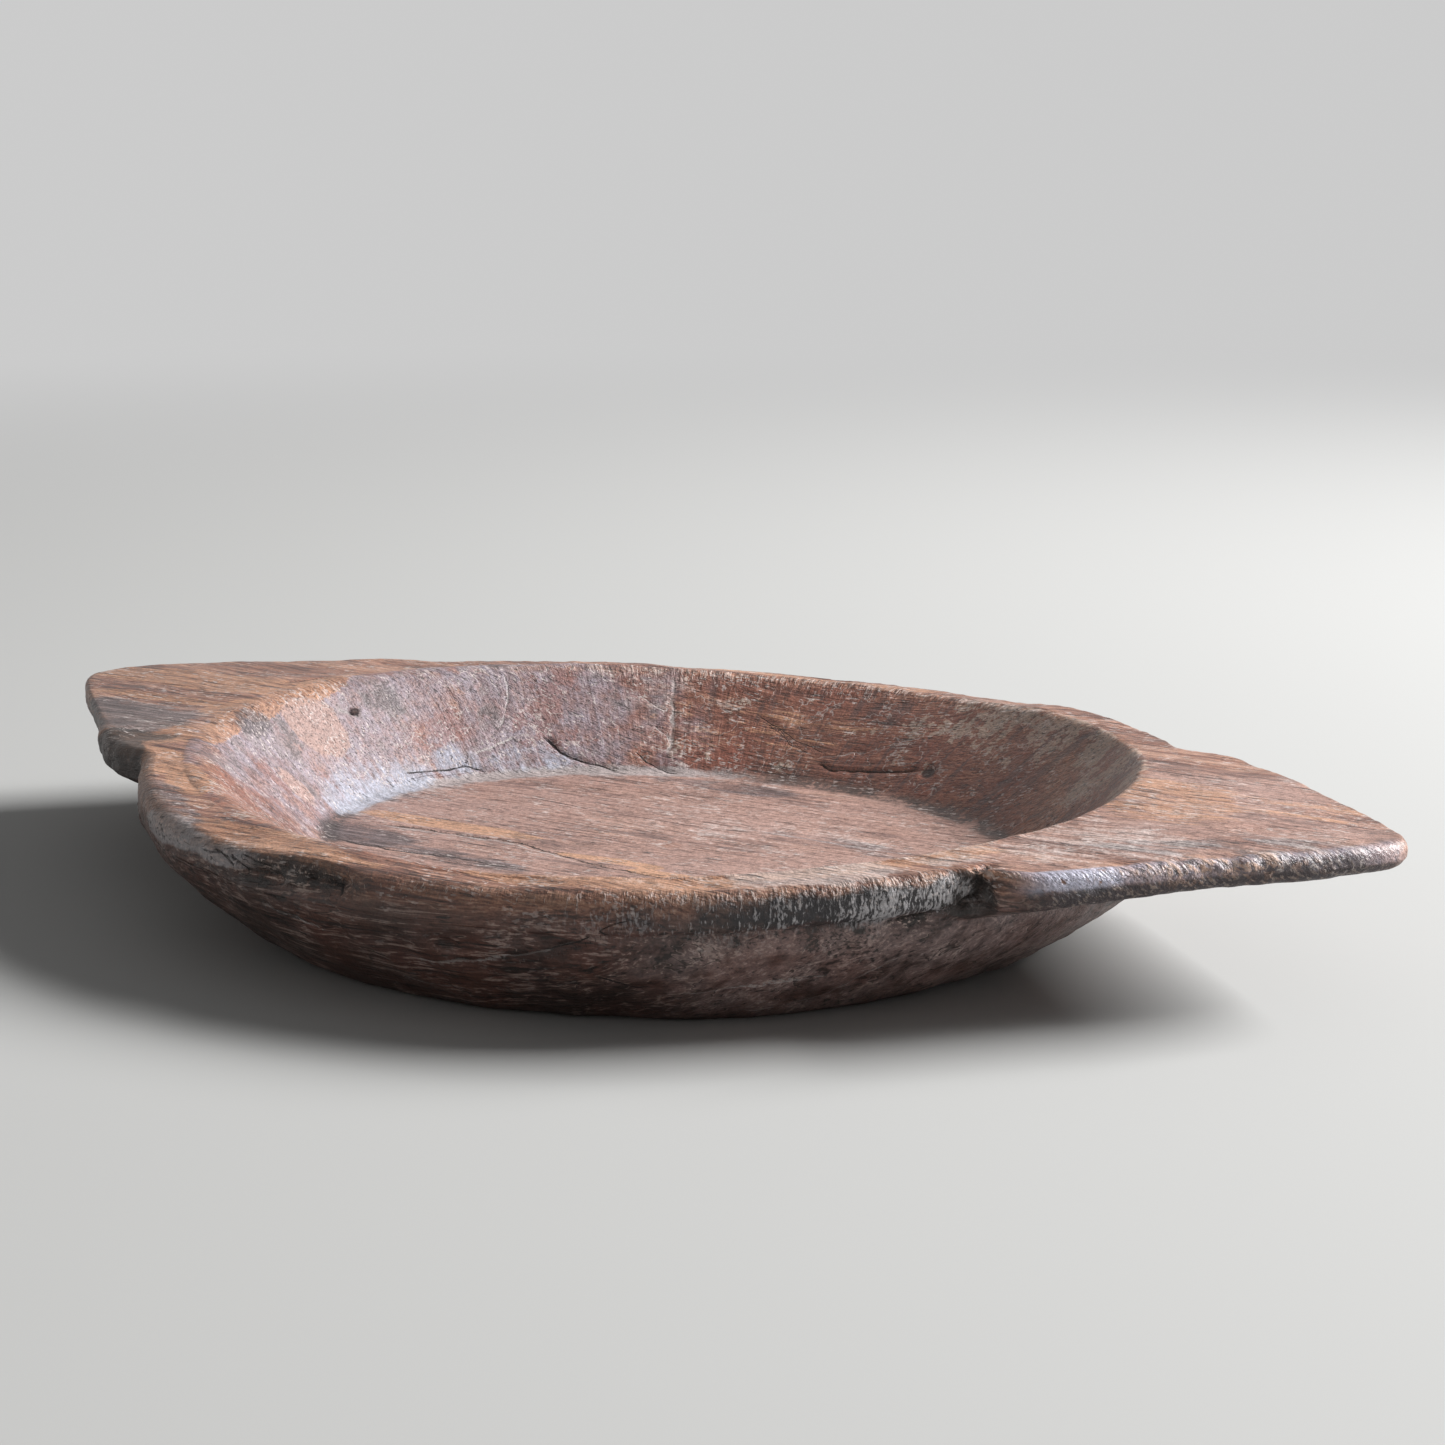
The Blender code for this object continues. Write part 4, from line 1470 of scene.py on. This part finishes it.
class Painter:
    """Paints the old wood in steps, each of which lays its colours and adds its roughness and relief."""

    def __init__(self, graph: Graph, look: OldHardwood) -> None:
        """Grow the bare wood.

        Args:
            graph: The material's nodes.
            look: The finish's colours.
        """
        self.graph = graph
        self.look = look
        self.grain = g = Grain(graph)
        self.outside = graph.mask("outside")
        self.wall = graph.mask("hollow_wall")
        self.dark_lines = g.lines.between(-0.065, -0.095)
        self.pale_lines = g.lines.between(0.085, 0.120)
        figure = (0.5 + g.broad * 0.85 + g.streak * 0.85 + g.fibre * 0.95
                  - self.dark_lines * 0.16 + self.pale_lines * 0.13)
        self.ambered = graph.mix((figure - 0.5) * 2.2 + 0.66, look.amber_dark, look.amber)
        chalk = graph.mask("chalk")
        chalky = chalk + g.strokes * 1.2 + g.speckle * 0.8 + g.stain * 1.5
        self.chalky = chalky.between(0.10, 0.95) * chalk.between(0.02, 0.30)
        self.colour = graph.node("ShaderNodeValToRGB", {"stops": look.growth}, {0: figure}, "Color")
        self.roughness = (look.roughness + g.streak * 0.3 + g.speckle * 0.4
                          + self.chalky * 0.34 + self.outside * 0.08)
        self.height = (g.fibre * 0.00030 + g.streak * 0.00062 + g.speckle * 0.00036 + g.grit * 0.00014
                       + g.strokes * (self.wall * 0.00055) + g.stain * (self.outside * 0.0015))

    def lay(self, cover: Signal, colour: Union[Signal, Colour]) -> None:
        """Lay a colour over what is painted so far.

        Args:
            cover: How much of it shows, from 0 to 1.
            colour: The colour.
        """
        self.colour = self.graph.mix(cover, self.colour, colour)

    def thin_lines(self, noise: Signal, inner: float, outer: float) -> Signal:
        """Thin winding lines, where a noise passes its middle.

        Args:
            noise: The noise.
            inner: How far from its middle a line is still whole.
            outer: How far from its middle it ends.

        Returns:
            1 in the lines and 0 beside them.
        """
        return 1.0 - self.graph.math("ABSOLUTE", noise).between(inner, outer)

    def marked_lines(self, name: str, ragged: Signal, inner: float, outer: float) -> Signal:
        """Draw the cracks or scrapes from their masks.

        Args:
            name: The masks' name.
            ragged: Noise that makes the line's edge uneven.
            inner: Where the line is still whole, in half line widths.
            outer: Where it ends.

        Returns:
            1 in the line and 0 beside it.
        """
        away = self.graph.math("ABSOLUTE", self.graph.mask(name + "_side")) + ragged
        return (1.0 - away.between(inner, outer)) * self.graph.mask(name + "_depth").between(0.05, 0.75)

    def paint_hollow(self) -> None:
        """Paint the floor's worn pink wood with painted sheen, the walls' mauve haziness with painted light
        on the wall that the window lights, and their bruises and veils.
        """
        g, graph, look = self.grain, self.graph, self.look
        # The part of the walls that the window lights, for painted light
        haze_and_light = graph.mask("haze_and_light")
        lit_wall = self.wall * haze_and_light
        shaded_wall = self.wall * (1.0 - haze_and_light)
        # Worn pink wood on the floor and the right lug's top, paler for part of a painted sheen
        rubbed_and_sheen = 0.76 + g.blotch * 1.5 + g.streak * 0.8 + g.speckle * 1.2 - self.dark_lines * 0.2
        self.lay((graph.mask("hollow_floor") + graph.mask("smooth")) * rubbed_and_sheen, look.rubbed_pink_and_sheen)
        # Painted light: the lit wall is made less red, then pale mauve over the wood's own haziness
        self.lay(self.wall * (0.50 - haze_and_light * 0.25 + g.blotch * 2.4 + g.streak), look.red_patch)
        haze_and_light_cover = lit_wall * (0.72 + g.strokes * 1.2 + g.stain * 2.1 + g.speckle * 0.5)
        self.lay(haze_and_light_cover, look.haze_and_light)
        self.lay(lit_wall * g.mottle.between(0.045, 0.085) * 0.46, look.red_patch)
        bruised = (g.mottle + g.strokes * 0.25).between(-0.045, -0.085)
        self.lay(lit_wall * bruised * 0.60, look.ashen_pale)
        stained = (g.mottle + g.stain * 0.3).between(-0.10, -0.14)
        self.lay(lit_wall * stained * 0.55, look.ashen_and_shade)
        shadowed = (g.sweep * 0.6 + g.strokes * 0.4 + g.stain * 0.3).between(-0.040, -0.090)
        self.lay(shaded_wall * shadowed * 0.50, look.ashen_and_shade)
        veiled = (graph.mask("upper_wall") * 0.60 - 0.19 + g.sweep * 1.5 + g.strokes * 0.9
                  + g.stain * 3.0 + g.speckle * 1.8)
        self.lay(shaded_wall * veiled.between(0.28, 0.42) * 0.66, look.veil_and_glints)
        self.roughness += haze_and_light_cover * 0.14

    def paint_patches(self) -> None:
        """Paint the amber, peach, grey weathered and striped patches, with painted shade in one on the
        floor's left, the seam round the floor, painted shade along the floor's corner, and the chalk.
        """
        g, graph, look = self.grain, self.graph, self.look
        amber = graph.mask("amber") + g.streak * 1.4 + g.broad * 0.6 + g.fibre * 0.9
        self.lay(amber.between(0.32, 0.56) * 0.86, self.ambered)
        peach = graph.mask("peach") + g.stain * 0.9 + g.speckle * 0.5
        self.lay(peach.between(0.32, 0.52) * 0.84, look.peach)
        paleness = (0.18 + g.streak * 2.4 + g.fibre * 1.6 + g.grit * 1.2
                    + self.pale_lines * 0.6 - self.dark_lines * 0.5)
        # Grey weathered patches, one of them painted shade on the floor's left
        ashen_and_shade = graph.mask("ashen_and_shade") + g.streak * 1.5 + g.stain * 0.8
        self.lay(ashen_and_shade.between(0.34, 0.72) * 0.84, graph.mix(paleness, look.ashen_and_shade, look.ashen_pale))
        striped = graph.mask("striped") + g.streak * 0.9 + g.stain * 0.5
        self.lay(striped.between(0.34, 0.46) * 0.90, look.stripe)
        seam = graph.mask("seam") + g.stain * 1.4 + g.speckle * 0.8
        self.lay(seam.between(0.22, 0.70) * 0.74, look.seam)
        # Painted shade along the corner between floor and wall
        crease_shade = graph.mask("crease_shade") * (g.stain + g.speckle * 0.8).between(-0.20, 0.0)
        self.lay(crease_shade * 0.84, look.grime_and_shade)
        self.lay(self.chalky * 0.80, look.chalk)

    def paint_outside(self) -> None:
        """Paint the outer wall's patina, with its dust and painted light, its pale film and painted sheen,
        pale wisps and dark rents.
        """
        g, graph, look, outside = self.grain, self.graph, self.look, self.outside
        old = graph.mix(0.30 + g.streak * 2.2 + g.stain * 2.5 + g.fibre * 1.4, look.patina, look.patina_pale)
        # Paler patches on the outer wall's near right: dust and painted light
        dust_and_light = graph.mask("dust_and_light") * (g.streak * 0.6 + g.stain * 0.6).between(-0.20, 0.10)
        old = graph.mix(dust_and_light * 0.84, old, look.dust_and_light)
        old = graph.mix(g.blotch.between(-0.10, 0.14) * 0.22, old, look.red_patch)
        self.lay(outside * (0.90 - self.chalky * 0.4), old)
        # Pale whitish film with painted sheen on the near-left band
        bloom_and_sheen = graph.mask("bloom_and_sheen") + g.stain * 1.3 + g.speckle * 0.8
        self.lay(bloom_and_sheen.between(0.30, 0.90) * 0.66, look.bloom_and_sheen)
        broken = outside * g.web.between(-0.01, 0.03)
        self.lay(self.thin_lines(g.nerve, 0.002, 0.009) * broken * 0.24, look.torn)
        along = g.lines * 0.6 + g.streak * 0.4
        wisps = (along + g.stain * 0.55 + g.fibre * 0.5).between(0.075, 0.140)
        self.lay(outside * wisps * 0.28, look.torn)
        rents = (along + g.mottle * 0.5 + g.fibre * 0.3).between(-0.070, -0.115)
        self.lay(outside * rents * 0.72, look.crack)
        self.lay(self.thin_lines(g.nerve - 0.016, 0.004, 0.012) * broken * 0.75, look.crack)

    def paint_lug_edges(self) -> None:
        """Paint the worn edges, and the right lug's near side: its worn upper face with painted sheen, and
        its dark lower face with painted shade and painted glints.
        """
        g, graph, look = self.grain, self.graph, self.look
        burnished_and_sheen, lug_face_and_shade = graph.mask("burnished_and_sheen"), graph.mask("lug_face_and_shade")
        worn = graph.mask("edge") * (g.blotch * 0.7 + g.streak * 0.6).between(-0.15, 0.15)
        self.lay(worn * 0.55, self.ambered)
        # Painted bluish sheen on the lug's worn upper face, which also gets less roughness and more coat
        sheen = burnished_and_sheen * (g.blotch * 0.4 + g.slant * 0.6 + g.speckle * 0.5).between(-0.22, -0.04)
        self.lay(sheen * 0.86, look.burnished_and_sheen)
        # Painted shade on the right lug's lower face and underside, over its dark wood
        self.lay(lug_face_and_shade * 0.94, look.lug_face_and_shade)
        # Painted glints: pale specks on the lug's dark face, partly pale flecks in the wood
        self.lay(lug_face_and_shade * (g.slant + g.speckle * 0.4).between(0.05, 0.12) * 0.28, look.veil_and_glints)
        self.roughness -= sheen * 0.14
        self.height += g.slant * ((burnished_and_sheen + lug_face_and_shade) * 0.0006)

    def paint_damage(self) -> None:
        """Paint the blackened band, dark patches of dirt and painted shade, the chips with painted shade in
        their hollows, and torn edges.
        """
        g, graph, look = self.grain, self.graph, self.look
        charred, tears = graph.mask("charred"), graph.mask("tears")
        grime_and_shade, chipped = graph.mask("grime_and_shade"), graph.mask("chipped")
        blackened = (charred + g.stain * 1.1 + g.speckle * 0.8).between(0.18, 0.90)
        self.lay(blackened * charred.between(0.0, 0.4), look.charred)
        # Dark patches of dirt and painted shade
        self.lay((grime_and_shade + g.speckle * 1.2 + g.stain * 1.2).between(0.30, 0.85) * 0.86, look.grime_and_shade)
        # Painted shade in the hollows of the chips
        self.lay(chipped * (g.tearing + g.streak * 0.8).between(0.06, -0.04) * 0.80, look.grime_and_shade)
        torn = (tears * 0.55 + g.tearing * 1.5 + g.hatching * 1.3).between(0.50, 0.68)
        torn = torn * tears.between(0.02, 0.30) * (1.0 - charred * 0.65)
        self.lay(torn * 0.78, look.torn)
        rifts = tears.between(0.45, 0.90) * (g.tearing * 0.6 + g.hatching * 0.4).between(-0.035, -0.090)
        self.lay(rifts * 0.50, look.crack)
        scooped = graph.mask("scoops") * (g.tearing * 0.7 + g.slant * 0.3).between(0.0, 0.06)
        self.lay(scooped * 0.60, look.stripe)
        hatched = g.hatching * 0.8 + g.tearing * 0.2 + g.stain * 0.5 + graph.mask("frayed") * 0.045
        self.lay(charred * hatched.between(0.01, 0.11) * 0.66, look.frayed)
        fibres = chipped * (g.fibre * 0.4 + g.lines * 0.4 + g.tearing * 0.2).between(0.02, 0.08)
        self.lay(fibres * (1.0 - grime_and_shade.between(0.82, 0.98)) * 0.65, look.torn)
        self.roughness += torn * 0.28
        self.height += (g.tearing * (tears * 0.0016 + chipped * 0.0020) + g.hatching * (charred * 0.0008)
                        + torn * 0.00020)

    def paint_scuffs(self) -> None:
        """Paint the scuffs, flecks, fine scratches and ticks, and the floor's dark blotches."""
        g, graph, look = self.grain, self.graph, self.look
        scuffed = graph.mask("scuffed") + g.streak * 1.7 + g.speckle * 1.2 + g.stain * 1.2
        self.lay(scuffed.between(0.44, 0.92) * 0.46, look.fleck)
        flecked = g.flecks.between(0.092, 0.130) * g.stain.between(-0.03, 0.06)
        self.lay(flecked * (1.0 - self.outside * 0.82) * 0.78, look.fleck)
        scratched = self.thin_lines(g.web, 0.004, 0.013) * g.mottle.between(-0.01, 0.03)
        self.lay(scratched * self.wall * 0.55, look.fleck)
        ticked = g.ticks.between(-0.125, -0.160) * (1.0 - self.chalky) * (1.0 - self.outside)
        self.lay(ticked * 0.62, look.grime_and_shade)
        darkened = (g.blotch + g.streak * 0.8).between(-0.04, -0.16) * graph.mask("hollow_floor")
        self.lay(darkened * 0.34, look.ashen_and_shade)
        self.height -= ticked * 0.00012

    def paint_lines(self) -> None:
        """Paint the scrapes, checks and cracks, give the whole its fine grain, and darken the left part with
        painted shade.
        """
        g, graph, look = self.grain, self.graph, self.look
        ragged = g.speckle * 1.6 + g.grit * 1.2 + g.streak * 0.5
        crack = self.marked_lines("crack", ragged, 0.55, 1.35)
        scrape = self.marked_lines("scrape", ragged * 2.2, 0.30, 1.30)
        scraped = scrape * (0.22 + g.stain.between(-0.10, 0.08) * 0.46)
        self.lay(scraped * (1.0 - self.outside * 0.4), look.scraped)
        checks = (1.0 - g.lines.between(-0.160, -0.130)) * g.stain.between(-0.06, 0.04)
        self.lay(checks * 0.70, look.crack)
        self.lay(crack * (0.50 + g.speckle.between(-0.10, 0.02) * 0.43), look.crack)
        # Fine grain over the whole colour, and painted shade that darkens the left part apart from the outer
        # wall
        self.colour *= (1.0 + g.fibre * 0.75 + g.grit * 1.10 + g.speckle * 0.80
                        - graph.mask("left_side_shade") * (1.0 - self.outside) * 0.15)
        self.roughness += crack * 0.4
        self.height += scrape * 0.00022 - crack * 0.00100 - checks * 0.00035

    def feed_shader(self, shader: bpy.types.Node) -> None:
        """Link what is painted to the material's shader.

        Args:
            shader: The material's Principled BSDF.
        """
        graph = self.graph
        coat = graph.mask("burnished_and_sheen") * self.look.burnished_coat + self.look.coat
        relief = {"Strength": 1.0, "Distance": 1.0, "Height": self.height}
        bump = graph.node("ShaderNodeBump", {}, relief, "Normal")
        for name, signal in (("Base Color", self.colour), ("Roughness", self.roughness),
                             ("Coat Weight", coat), ("Normal", bump)):
            graph.feed(signal, shader.inputs[name])


# Floor, light and camera
@dataclass(frozen=True)
class Studio:
    """Plain pale floor, soft light and the photograph's camera."""

    picture_pixels: float = 1445.0
    focal_pixels: float = 2701.0
    sensor_width: float = 36.0
    camera_place: Place = (0.4812, -0.8327, 0.2809)
    camera_pitch: float = float(np.radians(12.76))
    camera_turn: float = float(np.radians(28.91))
    fill: float = 0.13
    backdrop: float = 0.60
    window_power: float = 268.0
    window_size: Tuple[float, float] = (1.9, 1.4)
    window_place: Place = (2.30, 1.99, 2.00)
    fade_start: float = 0.55
    fade_end: float = 2.40
    aim: Place = (0.0, 0.0, 0.03)
    floor_size: float = 12.0
    floor_place: Place = (0.0, 0.0, -0.0002)
    floor_colour: Colour = (0.55, 0.55, 0.54, 1.0)
    floor_roughness: float = 0.8
    white: Colour = (1.0, 1.0, 1.0, 1.0)

    def build(self) -> None:
        """Make the floor, the lights and the camera."""
        scene = bpy.context.scene
        scene.view_settings.view_transform = "Standard"
        self.floor()
        self.lights()
        data = bpy.data.cameras.new("camera")
        data.sensor_width = self.sensor_width
        data.lens = self.focal_pixels / self.picture_pixels * self.sensor_width
        camera = bpy.data.objects.new("camera", data)
        camera.location = self.camera_place
        camera.rotation_euler = (np.pi / 2.0 - self.camera_pitch, 0.0, self.camera_turn)
        scene.collection.objects.link(camera)
        scene.camera = camera

    def floor(self) -> None:
        """Make the pale floor."""
        bpy.ops.mesh.primitive_plane_add(size=self.floor_size, location=self.floor_place)
        floor = bpy.context.active_object
        floor.name = "floor"
        material = bpy.data.materials.new("floor_paint")
        material.use_nodes = True
        shader = material.node_tree.nodes["Principled BSDF"]
        shader.inputs["Base Color"].default_value = self.floor_colour
        shader.inputs["Roughness"].default_value = self.floor_roughness
        graph = Graph(material.node_tree)
        distance = graph.vector("LENGTH", {0: graph.place()}, "Value")
        faded = distance.between(self.fade_start, self.fade_end) * self.seen(graph)
        sheet = graph.node("ShaderNodeEmission", {}, {"Color": self.white, "Strength": self.backdrop})
        painted = Signal(graph, shader.outputs[0])
        blended = graph.node("ShaderNodeMixShader", {}, {0: faded, 1: painted, 2: sheet})
        graph.feed(blended, material.node_tree.nodes["Material Output"].inputs["Surface"])
        floor.data.materials.append(material)

    @staticmethod
    def seen(graph: Graph) -> Signal:
        """1 for a ray that shows the backdrop itself, in view, in a reflection or through glass."""
        rays = [graph.node("ShaderNodeLightPath", {}, {}, name) for name in (
            "Is Camera Ray", "Is Glossy Ray", "Is Transmission Ray")]
        return graph.math("MAXIMUM", graph.math("MAXIMUM", rays[0], rays[1]), rays[2])

    def lights(self) -> None:
        """Make the window light and the even light all round, which a pale room gives."""
        world = bpy.data.worlds.new("studio")
        world.use_nodes = True
        graph = Graph(world.node_tree)
        strength = self.fill + self.seen(graph) * (self.backdrop - self.fill)
        background = world.node_tree.nodes["Background"]
        background.inputs["Color"].default_value = self.white
        graph.feed(strength, background.inputs["Strength"])
        bpy.context.scene.world = world
        data = bpy.data.lights.new("window", "AREA")
        data.shape = "RECTANGLE"
        data.energy = self.window_power
        data.size, data.size_y = self.window_size
        window = bpy.data.objects.new("window", data)
        window.location = self.window_place
        backward = Vector(self.window_place) - Vector(self.aim)
        window.rotation_euler = backward.to_track_quat("Z", "Y").to_euler()
        bpy.context.scene.collection.objects.link(window)


def main() -> None:
    """Build the dressed bowl and its studio."""
    logging.basicConfig(level=logging.INFO, format="%(name)s: %(message)s")
    Studio().build()
    log.info("studio ready")
    bowl = CarvedBowl(BowlForm(), RingLayout()).build()
    bowl.data.materials.append(OldHardwood().material())
    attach(bowl, ROOT_BODY)
    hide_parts(NODE)
    log.info("carved bowl ready: %d faces", len(bowl.data.polygons))


if __name__ == "__main__":
    main()
